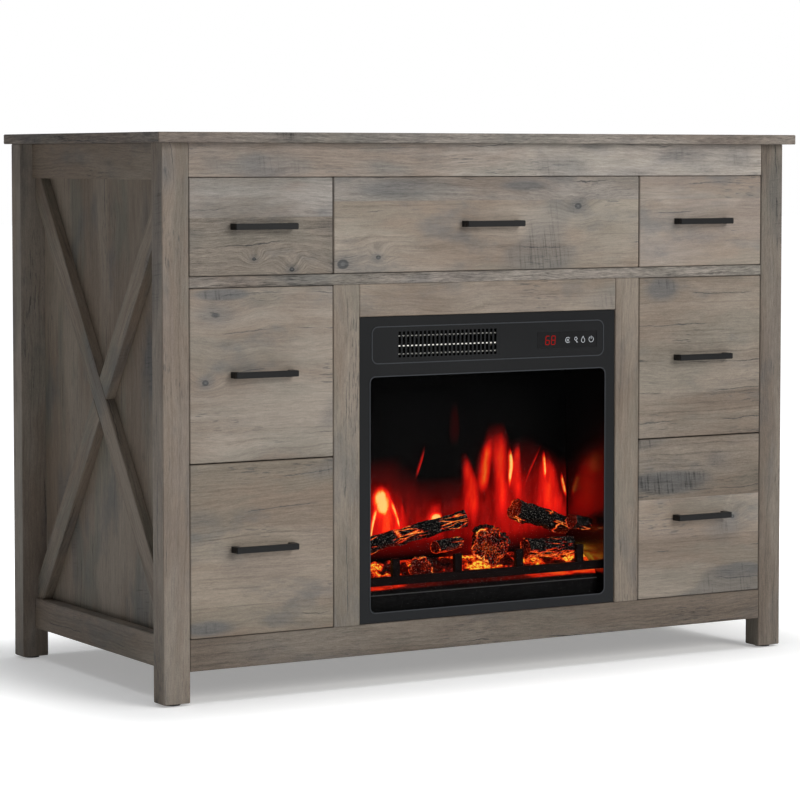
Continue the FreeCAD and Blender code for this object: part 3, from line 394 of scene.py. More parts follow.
def solids_of(node):
    """Each separate solid of a CAD node, as its own welded bmesh.

    Faces belong together across an edge that only two of them share, so boards that touch stay apart.
    """
    whole = bmesh.new()
    whole.from_mesh(NODES[node].data)
    bmesh.ops.remove_doubles(whole, verts=whole.verts, dist=WELD_DISTANCE)
    seen = set()
    found = []
    for start in whole.faces:
        if start in seen:
            continue
        group = {start}
        waiting = [start]
        while waiting:
            here = waiting.pop()
            for edge in here.edges:
                if len(edge.link_faces) != 2:
                    continue
                for other in edge.link_faces:
                    if other not in group:
                        group.add(other)
                        waiting.append(other)
        seen |= group
        part = bmesh.new()
        index = {}
        for face in sorted(group, key=lambda f: f.index):
            for vert in face.verts:
                if vert not in index:
                    index[vert] = part.verts.new(vert.co)
            part.faces.new([index[vert] for vert in face.verts])
        bmesh.ops.dissolve_limit(part, angle_limit=FLAT_ANGLE, verts=part.verts, edges=part.edges)
        part.normal_update()
        found.append(part)
    whole.free()
    return found


def extent(*parts):
    """Lowest and highest corner of some bmeshes."""
    places = [vert.co for part in parts for vert in part.verts]
    low = Vector([min(place[axis] for place in places) for axis in range(3)])
    high = Vector([max(place[axis] for place in places) for axis in range(3)])
    return low, high


def longest_direction(part):
    edge = max(part.edges, key=lambda e: e.calc_length())
    return (edge.verts[1].co - edge.verts[0].co).normalized()


def bevel(part, width):
    sharp = [
        edge for edge in part.edges if len(edge.link_faces) == 2 and edge.calc_face_angle(0.0) > SHARP_ANGLE
    ]
    bmesh.ops.bevel(part, geom=sharp, offset=width, segments=2, affect="EDGES", clamp_overlap=True)


def cut(part, place, direction, clear_outer=False):
    """Splits the faces along a plane, and puts them in an order that is the same each time."""
    geometry = list(part.verts) + list(part.edges) + list(part.faces)
    bmesh.ops.bisect_plane(part, geom=geometry, plane_co=place, plane_no=direction, clear_outer=clear_outer)
    part.verts.sort(key=lambda vert: vert.co.dot(SORT_DIRECTION))
    part.faces.sort(key=lambda face: face.calc_center_median().dot(SORT_DIRECTION))


def lay_grain(part, direction, seed, finish):
    """Stores where each face corner lies along and across its board's grain, and the board's finish, whose
    tone is painted shade on a few boards.
    """
    layer = part.loops.layers.float_vector.new("grain")
    finish_layer = part.loops.layers.float_vector.new("finish")
    for face in part.faces:
        normal = face.normal
        axis = max(range(3), key=lambda a: abs(normal[a]))
        run = direction - normal * direction.dot(normal)
        if run.length < 0.5:
            others = [a for a in range(3) if a != axis]
            low, high = extent(part)
            best = max(others, key=lambda a: high[a] - low[a])
            run = Vector([1.0 if a == best else 0.0 for a in range(3)])
        run.normalize()
        side = normal.cross(run)
        side_seed = seed + axis * 1.7 + (0.9 if normal[axis] > 0 else 0.0)
        for loop in face.loops:
            place = loop.vert.co
            loop[layer] = Vector((place.dot(run) + seed * 0.31, place.dot(side) + seed * 0.17, side_seed))
            loop[finish_layer] = Vector(finish)


def put_in_scene(name, data):
    obj = bpy.data.objects.new(name, data)
    bpy.context.scene.collection.objects.link(obj)
    return obj


def as_object(name, parts, material, smooth_angle):
    """One object from several bmeshes, which are freed."""
    mesh = bpy.data.meshes.new(name)
    joined = bmesh.new()
    for part in parts:
        piece = bpy.data.meshes.new("piece")
        part.to_mesh(piece)
        part.free()
        joined.from_mesh(piece)
        bpy.data.meshes.remove(piece)
    joined.normal_update()
    joined.to_mesh(mesh)
    joined.free()
    mesh.materials.append(material)
    obj = put_in_scene(name, mesh)
    if smooth_angle:
        mesh.polygons.foreach_set("use_smooth", [True] * len(mesh.polygons))
        mesh.set_sharp_from_angle(angle=smooth_angle)
    return obj


def show(name, parts, material, node, smooth_angle=0.6):
    """One object in a CAD node's place, which moves with that node's body."""
    obj = as_object(name, parts, material, smooth_angle)
    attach(obj, BODY_OF[node])
    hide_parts(node)


def show_extra(name, parts, material, smooth_angle=0.6):
    """One object on the cabinet that stands for no CAD node."""
    obj = as_object(name, parts, material, smooth_angle)
    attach(obj, "cabinet")


EDGE_EASE = 0.9 * MM
board_count = 0
# each finish is a tone, a warmth and a share of saw marks; these boards stand out from the rest, and the dark
# tones of one leg and of one front rail are painted shade
PLAIN_FINISH = (0.95, 0.8, 0.0)
BOARD_LOOKS_AND_SHADE = {
    "top_left_front": ((1.04, 0.1, 0.2),),
    "top_centre_front": ((0.92, 0.25, 0.3),),
    "top_right_front": ((1.28, 0.35, 0.0),),
    "mid_left_front": ((1.06, 0.55, 0.0),),
    "mid_right_front": ((0.85, 0.70, 0.0),),
    "low_left_front": ((1.06, 0.80, 0.0),),
    "low_right_front": ((0.70, 0.75, 0.0),),
    "fireplace_header": ((1.06, 0.70, 0.0),),
    "stiles": ((1.0, 0.70, 0.0), (0.88, 0.75, 0.0)),
    "front_rails": ((1.34, 0.25, 0.5), (0.68, 0.65, 0.0)),
    "deck_panel": ((0.86, 0.35, 1.0),),
    "top_panel": ((0.86, 0.35, 0.8),),
    "legs": ((1.0, 0.55, 0.0), (1.0, 0.55, 0.0), (0.69, 0.60, 0.0), (1.0, 0.55, 0.0)),
}
# from one plank's place in the print to the next one's
PLANK_SHIFT = Vector((0.37, 0.11, 5.3))
# height of a plank joint in the print, and the finish below it
PLANK_STEPS = {
    "top_left_front": (0.698, (0.70, 0.65, 0.3)),
    "top_centre_front": (0.720, (1.16, 0.65, 0.0)),
    "top_right_front": (0.720, (1.28, 0.45, 0.0)),
    "low_right_front": (0.250, (1.04, 0.65, 0.0)),
}


def step_plank(part, height, finish):
    """Prints the part of a board below a height as another plank."""
    cut(part, (0.0, 0.0, height), Z)
    grain = part.loops.layers.float_vector["grain"]
    look = part.loops.layers.float_vector["finish"]
    for face in part.faces:
        if face.calc_center_median().z < height:
            for loop in face.loops:
                loop[grain] += PLANK_SHIFT
                loop[look] = Vector(finish)


def boards(node, material, direction=None, ease=EDGE_EASE, sheets=None):
    """Shows a CAD node's boards with eased edges, cut from so many sheets, or else each from its own."""
    global board_count
    parts = solids_of(node)
    sheets = sheets or len(parts)
    finishes = BOARD_LOOKS_AND_SHADE.get(node, (PLAIN_FINISH,) * len(parts))
    for number, (part, finish) in enumerate(zip(parts, finishes)):
        run = direction or longest_direction(part)
        bevel(part, ease)
        part.normal_update()
        lay_grain(part, run, 1.0 + 2.37 * (board_count + 1 + number % sheets), finish)
        if node in PLANK_STEPS:
            step_plank(part, *PLANK_STEPS[node])
    board_count += sheets
    show(node + "_boards", parts, material, node)


def block(low, high):
    """A box between two corners."""
    part = bmesh.new()
    size = Vector(high) - Vector(low)
    middle = (Vector(high) + Vector(low)) / 2
    bmesh.ops.create_cube(part, size=1.0, matrix=Matrix.Translation(middle) @ Matrix.Diagonal((*size, 1.0)))
    return part


# ---------------------------------------------------------------- camera, light and floor
SENSOR = 36.0
LENS = 136.9
CAMERA_PLACE = Vector((-2.452, -4.127, 0.779))
CAMERA_YAW = math.radians(30.64)
CAMERA_PITCH = math.radians(-3.37)
FRAME_SHIFT = -0.075


def make_camera():
    data = bpy.data.cameras.new("camera")
    data.lens = LENS
    data.sensor_width = SENSOR
    data.shift_y = FRAME_SHIFT
    data.clip_end = 100.0
    camera = put_in_scene("camera", data)
    camera.location = CAMERA_PLACE
    level = math.cos(CAMERA_PITCH)
    ahead = Vector((math.sin(CAMERA_YAW) * level, math.cos(CAMERA_YAW) * level, math.sin(CAMERA_PITCH)))
    camera.rotation_euler = ahead.to_track_quat("-Z", "Y").to_euler()
    bpy.context.scene.camera = camera


def area_light(name, place, target, size, power, colour):
    data = bpy.data.lights.new(name, "AREA")
    data.shape = "RECTANGLE"
    data.size, data.size_y = size
    data.energy = power
    data.color = colour
    light = put_in_scene(name, data)
    light.location = place
    light.rotation_euler = (Vector(target) - Vector(place)).to_track_quat("-Z", "Y").to_euler()


def make_studio():
    world = bpy.data.worlds.new("studio")
    bpy.context.scene.world = world
    world.use_nodes = True
    tree = world.node_tree
    tree.nodes.clear()
    path = tree.nodes.new("ShaderNodeLightPath")
    mixed = tree.nodes.new("ShaderNodeMixShader")
    out = tree.nodes.new("ShaderNodeOutputWorld")
    tree.links.new(path.outputs["Is Camera Ray"], mixed.inputs[0])
    # what lights the cabinet, then what the camera sees
    for slot, colour, strength in ((1, (0.93, 0.96, 1.0, 1.0), 0.10), (2, (1.0, 1.0, 1.0, 1.0), 1.0)):
        sky = tree.nodes.new("ShaderNodeBackground")
        sky.inputs["Color"].default_value = colour
        sky.inputs["Strength"].default_value = strength
        tree.links.new(sky.outputs[0], mixed.inputs[slot])
    tree.links.new(mixed.outputs[0], out.inputs["Surface"])
    bpy.context.scene.view_settings.view_transform = "Standard"

    area_light("key", (1.6, -4.2, 2.5), (0.0, 0.0, 0.45), (2.6, 2.0), 118.0, (1.0, 0.985, 0.96))
    area_light("over", (0.2, -0.2, 3.4), (0.0, 0.0, 0.0), (3.0, 3.0), 95.0, (0.97, 0.985, 1.0))

    # the floor glows with painted light up to plain white away from the cabinet, and dims near it as a
    # painted shadow round its footprint, under the cabinet's cast shadow
    g = Graph("floor")
    place = g.object_place()
    x, y, _z = g.split(place)
    beside = g.larger(g.math("SUBTRACT", g.away(x), cad_high.x), 0.0)
    before = g.larger(g.math("SUBTRACT", g.away(y), cad_high.y), 0.0)
    distance = g.gap(g.combine(beside, before))
    speckle = g.ramp(g.noise(place, 2.0, 2.0), [(0.0, (0.80, 0.80, 0.80)), (1.0, (0.83, 0.83, 0.83))])
    seen = g.node("ShaderNodeLightPath").outputs["Is Camera Ray"]
    # painted light, dimmer near the cabinet as a painted shadow, and brighter as the camera sees it
    painted_floor_light = g.times(g.remap(distance, 0.0, 0.34, 0.30, 1.0), g.times_add(seen, 0.75, 0.25))
    white = (1.0, 1.0, 1.0)
    material = g.surface(Base_Color=speckle, Roughness=0.9, Emission_Color=white, Emission_Strength=painted_floor_light)
    mesh = bpy.data.meshes.new("floor")
    part = bmesh.new()
    bmesh.ops.create_grid(part, x_segments=1, y_segments=1, size=30.0)
    part.to_mesh(mesh)
    part.free()
    mesh.materials.append(material)
    floor = put_in_scene("floor", mesh)
    floor.location = (0.0, 0.0, cad_low.z - 0.5 * MM)


make_camera()
make_studio()

# ---------------------------------------------------------------- cabinet boards
X = Vector((1.0, 0.0, 0.0))
Y = Vector((0.0, 1.0, 0.0))
Z = Vector((0.0, 0.0, 1.0))
# x, z and radius of the larger knots on the fronts, in millimetres
KNOTS = (
    (-256, 628, 9), (-196, 637, 4), (158, 710, 6), (-482, 462, 5),
    (-403, 638, 3), (-341, 622, 4), (-219, 571, 4.5), (455, 215, 4),
)
# x, z and reach along and across of the grey stains with saw marks
STAINS = (
    (-150, 738, 120, 22), (60, 742, 60, 12), (-455, 588, 62, 12), (-478, 108, 60, 16),
    (315, 578, 45, 26), (470, 128, 60, 18), (330, 276, 110, 26),
)
wood_front = weathered_wood("wood_fronts", warmth=0.7, knots=KNOTS, stains=STAINS)
wood_frame = weathered_wood("wood_frame", warmth=0.6, smudge=0.8, tone=0.94, planks=False)
wood_side = weathered_wood("wood_side", warmth=0.0, smudge=1.0, tone=0.92)
inner_board = plain_board("drawer_board", (0.47, 0.40, 0.31))
back_board = plain_board("back_board", (0.25, 0.22, 0.185), 0.3)

for node, run in (
    ("top_panel", X), ("front_rails", X), ("rear_rails", X), ("side_rails", Y), ("deck_panel", X),
    ("legs", Z), ("stiles", Z), ("fireplace_header", X),
):
    boards(node, wood_frame, run)
boards("side_panels", wood_side, Z)
boards("cross_braces", wood_side)
boards("bottom_panel", wood_side, X)
boards("partitions", wood_side, Z)
boards("back_panels", back_board, X, 0.0003, sheets=1)

DRAWERS = ("top_left", "top_centre", "top_right", "mid_left", "low_left", "mid_right", "low_right")
for drawer in DRAWERS:
    boards(drawer + "_front", wood_front, X)
    boards(drawer + "_box", inner_board, None, 0.0006, sheets=2)

# ---------------------------------------------------------------- pulls, slides, small metal
def paint(material, *nodes):
    """Gives CAD nodes that are shown as they are a material."""
    for node in nodes:
        NODES[node].data.materials[0] = material


def metalwork(node, material, ease=0.0004):
    """Shows a CAD node's solids with slightly broken edges."""
    parts = solids_of(node)
    for part in parts:
        bevel(part, ease)
    show(node + "_shape", parts, material, node)


black_steel = coated_metal("black_steel", (0.0045, 0.0051, 0.0060), 0.42, 0.22)
pull_black = coated_metal("pull_black", (0.0045, 0.0045, 0.0048), 0.40, 0.30)
slide_steel = bare_metal("slide_steel", (0.62, 0.63, 0.64), 0.34, (600.0, 4.0, 600.0))
screw_steel = bare_metal("screw_steel", (0.55, 0.55, 0.56), 0.38, (300.0, 300.0, 300.0))
galvanised = bare_metal("galvanised", (0.55, 0.56, 0.57), 0.42, (30.0, 30.0, 500.0))
motor_steel = bare_metal("motor_steel", (0.42, 0.42, 0.43), 0.40, (9.0, 500.0, 500.0))
foil = bare_metal("foil", (0.85, 0.72, 0.60), 0.22, (500.0, 60.0, 60.0))
glide_plastic = moulded_plastic("glide_plastic", (0.05, 0.05, 0.052), 0.5)
gland_plastic = moulded_plastic("gland_plastic", (0.02, 0.02, 0.021), 0.45)
board_green = moulded_plastic("board_green", (0.02, 0.11, 0.05), 0.4, 500.0)

for drawer in DRAWERS:
    metalwork(drawer + "_pull", pull_black, 0.0008)
    paint(slide_steel, drawer + "_runners")
paint(slide_steel, "cabinet_slides")
paint(screw_steel, "cabinet_screws")
paint(glide_plastic, "foot_glides")
paint(gland_plastic, "cord_gland")
paint(galvanised, "insert_rear_cover")
paint(motor_steel, "motors", "blower_wheel")
paint(coated_metal("heater_black", (0.006, 0.006, 0.006), 0.6, 0.1), "heater_unit")
paint(foil, "flame_rotor")
paint(board_green, "circuit_boards")


# ---------------------------------------------------------------- electric insert
# just inside the fire chamber's side walls
SIDE_WALL = 213.2 * MM


def housing_material():
    """Galvanised outside, matt black inside, with polished side walls that mirror the fire."""
    g = Graph("galvanised_housing")
    inside = g.attribute("inside")["Fac"]
    mirror = g.attribute("mirror")["Fac"]
    place = g.object_place()
    lines = g.noise(g.stretched((30.0, 30.0, 500.0)), 1.0, 2.0)
    cloud = g.noise(place, 12.0, 3.0)
    zinc_shade = g.swing(lines, 0.3, 0.55)
    black_shade = g.swing(cloud, 0.002, 0.0022)
    colour = g.mix(inside, g.grey(zinc_shade), g.grey(black_shade))
    colour = g.mix(mirror, colour, (0.22, 0.19, 0.17))
    metal = g.larger(g.math("SUBTRACT", 1.0, inside), mirror)
    rough = g.times_add(inside, -0.12, 0.42)
    rough = g.times_add(mirror, -0.06, rough)
    level = g.times_add(inside, -0.25, 0.5)
    return g.surface(Base_Color=colour, Metallic=metal, Roughness=rough, Specular_IOR_Level=level)


def show_housing():
    """Marks the outer skin and the polished walls, by where a face lies and which way it looks."""
    parts = solids_of("insert_housing")
    low, high = extent(*parts)
    wall = 2.0 * MM
    for part in parts:
        layer = part.loops.layers.float.new("inside")
        mirror_layer = part.loops.layers.float.new("mirror")
        for face in part.faces:
            middle = face.calc_center_median()
            near_skin = any(
                (middle[a] - low[a] < wall and face.normal[a] < -0.5)
                or (high[a] - middle[a] < wall and face.normal[a] > 0.5)
                for a in (0, 2)
            )
            mirror = middle.x * face.normal.x < 0.0 and abs(middle.x) > SIDE_WALL and abs(face.normal.x) > 0.5
            for loop in face.loops:
                loop[layer] = 0.0 if near_skin else 1.0
                loop[mirror_layer] = 1.0 if mirror else 0.0
    show("housing_shell", parts, housing_material(), "insert_housing")


def glass_material():
    """Thin clear pane: mostly see-through, with a faint gloss that grows at a glancing angle."""
    g = Graph("glass")
    wave = g.noise(g.object_place(), 6.0, 1.0)
    facing = g.node("ShaderNodeLayerWeight", {"Blend": 0.15}).outputs["Facing"]
    tint = g.mix(wave, (0.90, 0.90, 0.90), (0.882, 0.882, 0.882))
    clear = g.node("ShaderNodeBsdfTransparent", {"Color": tint})
    black = g.mix(wave, (0.004, 0.004, 0.0045), (0.006, 0.006, 0.0065))
    gloss = g.principled(Base_Color=black, Roughness=0.06, Specular_IOR_Level=0.05)
    amount = g.times_add(g.math("POWER", facing, 3.0), 0.4, 0.05, clamp=True)
    mixed = g.node("ShaderNodeMixShader", {0: amount, 1: clear.outputs[0], 2: gloss})
    return g.finish(mixed.outputs[0])


def frame_material():
    """Black pressed steel with painted highlights along the raised beads, and painted light that makes it
    lighter lower down.
    """
    g = Graph("frame_steel")
    place = g.object_place()
    depth = g.split(place)["Y"]
    height = g.split(place)["Z"]
    cloud = g.noise(place, 9.0, 3.0)
    # painted light: lighter towards the bottom
    shade = g.swing(cloud, 0.12, g.remap(height, 0.15, 0.45, 1.7, 0.9))
    base = g.shaded((0.0050, 0.0057, 0.0068), shade)
    # painted highlight on the raised beads
    colour = g.mix(g.remap(depth, -0.2546, -0.2549), base, (0.040, 0.044, 0.050))
    normal = g.bump(g.noise(place, 900.0, 2.0), 0.12, 0.0002)
    rough = g.remap(cloud, 0.3, 0.7, 0.38, 0.47)
    return g.surface(Base_Color=colour, Roughness=rough, Normal=normal, Specular_IOR_Level=0.22)


metalwork("insert_frame", frame_material(), 0.0003)
show_housing()


def painted_gap_shade():
    """A dark strip set back in the gap round the insert's frame, painted shade so that no light comes
    through.
    """
    low, high = extent(*solids_of("insert_frame"))
    inner, outer = high.x + 0.05 * MM, high.x + 0.95 * MM
    inner_top, top = high.z + 0.05 * MM, high.z + 0.95 * MM
    front, back = low.y + 6.0 * MM, low.y + 10.0 * MM
    strips = [
        block((-outer, front, low.z), (-inner, back, top)),
        block((inner, front, low.z), (outer, back, top)),
        block((-inner, front, inner_top), (inner, back, top)),
    ]
    show_extra("frame_gap_shade_strip", strips, black_steel)


painted_gap_shade()
show("window_pane", solids_of("insert_glass"), glass_material(), "insert_glass")
screen_acrylic = coated_metal("screen_acrylic", (0.0012, 0.0011, 0.0011), 0.5, 0.06, 0.4)
paint(screen_acrylic, "flame_screen")


# grille: the slotted plate and, behind it, the louvres with painted glints
def louvre_material():
    """Black louvres with painted glints along their front edges, coloured light and glowing, the middle one
    most.
    """
    g = Graph("louvre_edge")
    x, y, z = g.split(g.object_place())
    middle = g.times(g.math("GREATER_THAN", z, 0.500), g.math("LESS_THAN", z, 0.510))
    depth = g.times_add(middle, 0.003, -0.2494)
    front = g.math("LESS_THAN", y, depth)
    uneven = g.noise(g.combine(g.times(x, 70.0), 0.0, g.times(z, 90.0)), 1.0, 1.0)
    # painted glint: a light colour on the front edges, with a glow
    bright = g.times(g.times_add(middle, 0.30, 0.66), g.remap(uneven, 0.3, 0.6, 0.75, 1.0))
    colour = g.mix(front, (0.004, 0.004, 0.004), g.combine(bright, bright, g.times(bright, 0.92)))
    painted_glint_glow = g.times(front, g.times_add(middle, 0.55, 0.12))
    return g.surface(
        Base_Color=colour,
        Roughness=0.35,
        Specular_IOR_Level=0.5,
        Emission_Color=(1.0, 0.97, 0.90),
        Emission_Strength=painted_glint_glow,
    )


louvre_bright = louvre_material()
LOUVRE_TALLEST = 10.0 * MM
plate_parts = []
louvre_parts = []
for part in solids_of("vent_grille"):
    low, high = extent(part)
    chosen = louvre_parts if high.z - low.z < LOUVRE_TALLEST else plate_parts
    chosen.append(part)
show("grille_plate", plate_parts, black_steel, "vent_grille")
show_extra("grille_louvres", louvre_parts, louvre_bright)

# control panel: gloss black strip with a two-digit readout and four touch marks
panel_gloss = coated_metal("panel_gloss", (0.004, 0.004, 0.0045), 0.10, mottle=0.1, fleck=30.0)
metalwork("control_panel", panel_gloss, 0.0004)
PANEL_FACE = extent(solids_of("control_panel")[0])[0].y


STROKE_THICK = 0.15 * MM


def glowing(name, colour, strength):
    """A lit mark that is slightly uneven."""
    g = Graph(name)
    flicker = g.noise(g.object_place(), 300.0, 1.0)
    level = g.times_add(flicker, 0.3 * strength, 0.85 * strength)
    return g.finish(g.emission(colour, level))


def face_stroke(points, width):
    """A flat line drawn on the panel through points (x, z), in millimetres."""
    strokes = []
    for (x0, z0), (x1, z1) in zip(points, points[1:]):
        start = Vector((x0 * MM, PANEL_FACE - STROKE_THICK / 2, z0 * MM))
        end = Vector((x1 * MM, PANEL_FACE - STROKE_THICK / 2, z1 * MM))
        run = end - start
        part = bmesh.new()
        turn = Matrix.Rotation(math.atan2(-run.z, run.x), 4, "Y")
        size = Matrix.Diagonal((run.length + 0.6 * width, STROKE_THICK, width, 1.0))
        bmesh.ops.create_cube(part, size=1.0, matrix=Matrix.Translation((start + end) / 2) @ turn @ size)
        strokes.append(part)
    return strokes


def seven_segment(lit, left, bottom):
    """The lit bars of one digit, in millimetres."""
    width, height, slant, gap = 6.6, 13.0, 0.9, 0.8
    top, middle = bottom + height, bottom + height / 2
    ends = {
        "a": ((left + gap + slant, top), (left + width - gap + slant, top)),
        "b": ((left + width + slant * 0.75, top - gap), (left + width + slant * 0.6, middle + gap)),
        "c": ((left + width + slant * 0.4, middle - gap), (left + width, bottom + gap)),
        "d": ((left + gap, bottom), (left + width - gap, bottom)),
        "e": ((left, bottom + gap), (left + slant * 0.4, middle - gap)),
        "f": ((left + slant * 0.6, middle + gap), (left + slant, top - gap)),
        "g": ((left + gap + slant * 0.5, middle), (left + width - gap + slant * 0.5, middle)),
    }
    return [part for bar in lit for part in face_stroke(ends[bar], 1.3 * MM)]


def arc(x, z, radius, start, stop, count=14):
    angles = [math.radians(start + (stop - start) * step / count) for step in range(count + 1)]
    return [(x + radius * math.cos(angle), z + radius * math.sin(angle)) for angle in angles]


digits = seven_segment("acdefg", 100.0, 499.0) + seven_segment("abcdefg", 110.5, 499.0)
show_extra("readout", digits, glowing("readout_red", (1.0, 0.03, 0.02), 0.32), 0.0)

ICON_Z = 505.0
icon_lines = [
    arc(141.0, ICON_Z, 4.2, 40.0, 320.0),
    arc(141.0, ICON_Z, 1.6, 0.0, 360.0, 8),
    arc(156.0, ICON_Z + 1.5, 2.6, 90.0, 270.0, 8) + [(157.5, ICON_Z - 4.0)],
    [(156.0, ICON_Z + 4.5), (158.5, ICON_Z + 1.5), (155.5, ICON_Z - 1.0), (159.0, ICON_Z - 4.0)],
    [(169.0, ICON_Z + 5.0)] + arc(169.0, ICON_Z - 1.2, 3.2, 35.0, -215.0) + [(169.0, ICON_Z + 5.0)],
    arc(184.0, ICON_Z, 4.2, 120.0, 420.0),
    [(184.0, ICON_Z + 5.2), (184.0, ICON_Z + 0.5)],
]
icons = [part for line in icon_lines for part in face_stroke(line, 0.8 * MM)]
show_extra("touch_marks", icons, glowing("mark_white", (0.9, 0.95, 1.0), 0.55), 0.0)


# ---------------------------------------------------------------- fire bed
# colours from cold to hot
EMBER_GLOW = (
    (0.0, (0.0, 0.0, 0.0)),
    (0.22, (0.10, 0.002, 0.0)),
    (0.45, (0.75, 0.02, 0.003)),
    (0.74, (1.0, 0.13, 0.01)),
    (1.0, (1.0, 0.62, 0.05)),
)
LOG_GLOW = (
    (0.0, (0.0, 0.0, 0.0)),
    (0.25, (0.12, 0.003, 0.0)),
    (0.5, (0.85, 0.035, 0.006)),
    (0.78, (1.0, 0.20, 0.02)),
    (1.0, (1.0, 0.55, 0.10)),
)
FLAME_GLOW = (
    (0.0, (0.0, 0.0, 0.0)),
    (0.22, (0.080, 0.0010, 0.0008)),
    (0.40, (0.40, 0.0045, 0.0030)),
    (0.58, (0.85, 0.012, 0.005)),
    (0.74, (1.0, 0.07, 0.010)),
    (0.88, (1.0, 0.40, 0.04)),
    (1.0, (1.0, 0.78, 0.22)),
)
# colours of the cold resin by its fine pattern
EMBER_CHAR = ((0.35, (0.002, 0.002, 0.002)), (0.62, (0.012, 0.010, 0.010)), (0.70, (0.10, 0.09, 0.08)))
LOG_CHAR = ((0.46, (0.001, 0.001, 0.001)), (0.58, (0.010, 0.009, 0.009)), (0.65, (0.34, 0.31, 0.27)))


def ember_material():
    """Charred resin whose cracks and hollows glow from yellow to dark red."""
    g = Graph("ember_resin")
    place = g.object_place()
    across, _depth, height = g.split(place)
    warp = g.times(g.noise(place, 30.0, 3.0), 0.02)
    cells = g.voronoi(g.vector("ADD", place, g.grey(warp)), 48.0)
    crack = g.remap(cells["Distance"], 0.15, 0.58)
    patches = g.remap(g.noise(place, 17.0, 2.0), 0.43, 0.64, 0.06, 0.85)
    patches = g.larger(patches, g.remap(g.away(across), 0.160, 0.190, 0.0, 1.35))
    fine = g.noise(place, 260.0, 3.0)
    hot = g.times(g.times(crack, patches), 1.3)
    hot = g.times(hot, g.remap(fine, 0.36, 0.62, 0.35, 1.15))
    # the lit slit under the grate bar, strongest at both ends
    slit = g.between(height, 0.1375, 0.1405, 0.1445, 0.1475)
    ends = g.remap(g.away(g.math("ADD", across, 0.02)), 0.03, 0.19, 0.10, 0.62)
    uneven = g.remap(g.noise(g.stretched((25.0, 1.0, 160.0)), 1.0, 2.0), 0.3, 0.7, 0.4, 1.1)
    slit = g.times(g.times(slit, ends), uneven)
    hot = g.larger(g.times(hot, g.remap(height, 0.147, 0.152)), slit)
    seam = g.between(height, 0.1310, 0.1318, 0.1324, 0.1332)
    glow = g.ramp(hot, EMBER_GLOW)
    char = g.ramp(fine, EMBER_CHAR)
    char = g.mix(g.remap(height, 0.136, 0.142), (0.0015, 0.0015, 0.0015), char)
    char = g.mix(seam, char, (0.10, 0.10, 0.10))
    return g.surface(
        Base_Color=char,
        Roughness=g.remap(fine, 0.3, 0.7, 0.75, 0.5),
        Normal=g.bump(fine, 0.6, 0.001),
        Emission_Color=glow,
        Emission_Strength=1.25,
        Specular_IOR_Level=0.12,
    )


def charred_log_material():
    """Blackened bark with pale flecks; glowing splits along it and round its cut ends, and painted ember
    light on its undersides low down.
    """
    g = Graph("log_resin")
    along, around, end = g.split(g.attribute("timber")["Vector"])
    place = g.object_place()
    height = g.split(place)["Z"]
    fine = g.noise(place, 420.0, 3.0, 0.7)
    ridges = g.noise(g.combine(g.times(along, 45.0), g.times(around, 190.0)), 1.0, 3.0)
    # end grain: splits that run outwards from the heart
    offset_rings = g.noise(place, 55.0, 2.0)
    spokes = g.to_split(
        g.times_add(offset_rings, 2.5, g.times(around, 4.6)),
        g.times_add(offset_rings, 2.0, g.times(along, 6.5)),
    )
    end_glow = g.times(g.remap(spokes, 0.075, 0.0), g.remap(offset_rings, 0.34, 0.62, 0.20, 0.80))
    rim = g.times(g.remap(along, 0.82, 1.0), g.remap(g.noise(place, 40.0, 1.0), 0.42, 0.62, 0.15, 1.3))
    end_glow = g.larger(end_glow, rim)
    bark_split = g.to_split(g.times(along, 18.0), g.times(around, 60.0))
    bark_glow = g.times(g.remap(bark_split, 0.055, 0.0), g.remap(g.noise(place, 24.0, 2.0), 0.45, 0.60))
    # painted light: the glow of the embers on the logs' undersides, low down
    underside = g.remap(g.split(g.node("ShaderNodeNewGeometry").outputs["Normal"])["Z"], 0.0, -0.9)
    low_down = g.remap(height, 0.215, 0.165)
    bark_glow = g.larger(bark_glow, g.times(g.times(underside, low_down), 0.85))
    hot = g.times_add(end, g.math("SUBTRACT", end_glow, bark_glow), bark_glow)
    hot = g.times(hot, g.remap(fine, 0.34, 0.62, 0.45, 1.15))
    glow = g.ramp(hot, LOG_GLOW)
    char = g.ramp(fine, LOG_CHAR)
    relief = g.times_add(fine, 0.5, ridges)
    return g.surface(
        Base_Color=char,
        Roughness=g.remap(ridges, 0.3, 0.7, 0.85, 0.6),
        Normal=g.bump(relief, 0.9, 0.002),
        Emission_Color=glow,
        Emission_Strength=1.3,
        Specular_IOR_Level=0.08,
    )


def quads_between(part, grid):
    """Fills a grid of vertices with faces; gives each with the (column, row) of its corners."""
    made = []
    for row in range(len(grid) - 1):
        for column in range(len(grid[row]) - 1):
            places = ((column, row), (column + 1, row), (column + 1, row + 1), (column, row + 1))
            made.append((part.faces.new([grid[level][over] for over, level in places]), places))
    return made


LOG_SIDES = 72
LOG_TAPER = 0.08
LOG_KNOBBLY = 0.20
LOG_ROW = 2.2 * MM
END_RINGS = (0.86, 0.66, 0.44, 0.22)
# a cut end with this radius or more glows fully
HOT_END_RADIUS = 30.0 * MM


def bark_reach(share, distance, angle, seed):
    """How far the bark reaches at a place on a log, as a share of the radius."""
    across, up = math.cos(angle), math.sin(angle)
    lump = noise.noise(Vector((distance * 28.0, across * 1.1, up * 1.1 + seed)))
    furrow = noise.noise(Vector((distance * 60.0, across * 6.0, up * 6.0 + seed)))
    plate = noise.cell(Vector((distance * 70.0, 5.0 + across * 2.4, 5.0 + up * 2.4 + seed)))
    grown = 1.0 - LOG_KNOBBLY + LOG_KNOBBLY * lump - 0.16 * abs(furrow) - 0.09 * plate - LOG_TAPER * share
    return min(grown, 1.0)


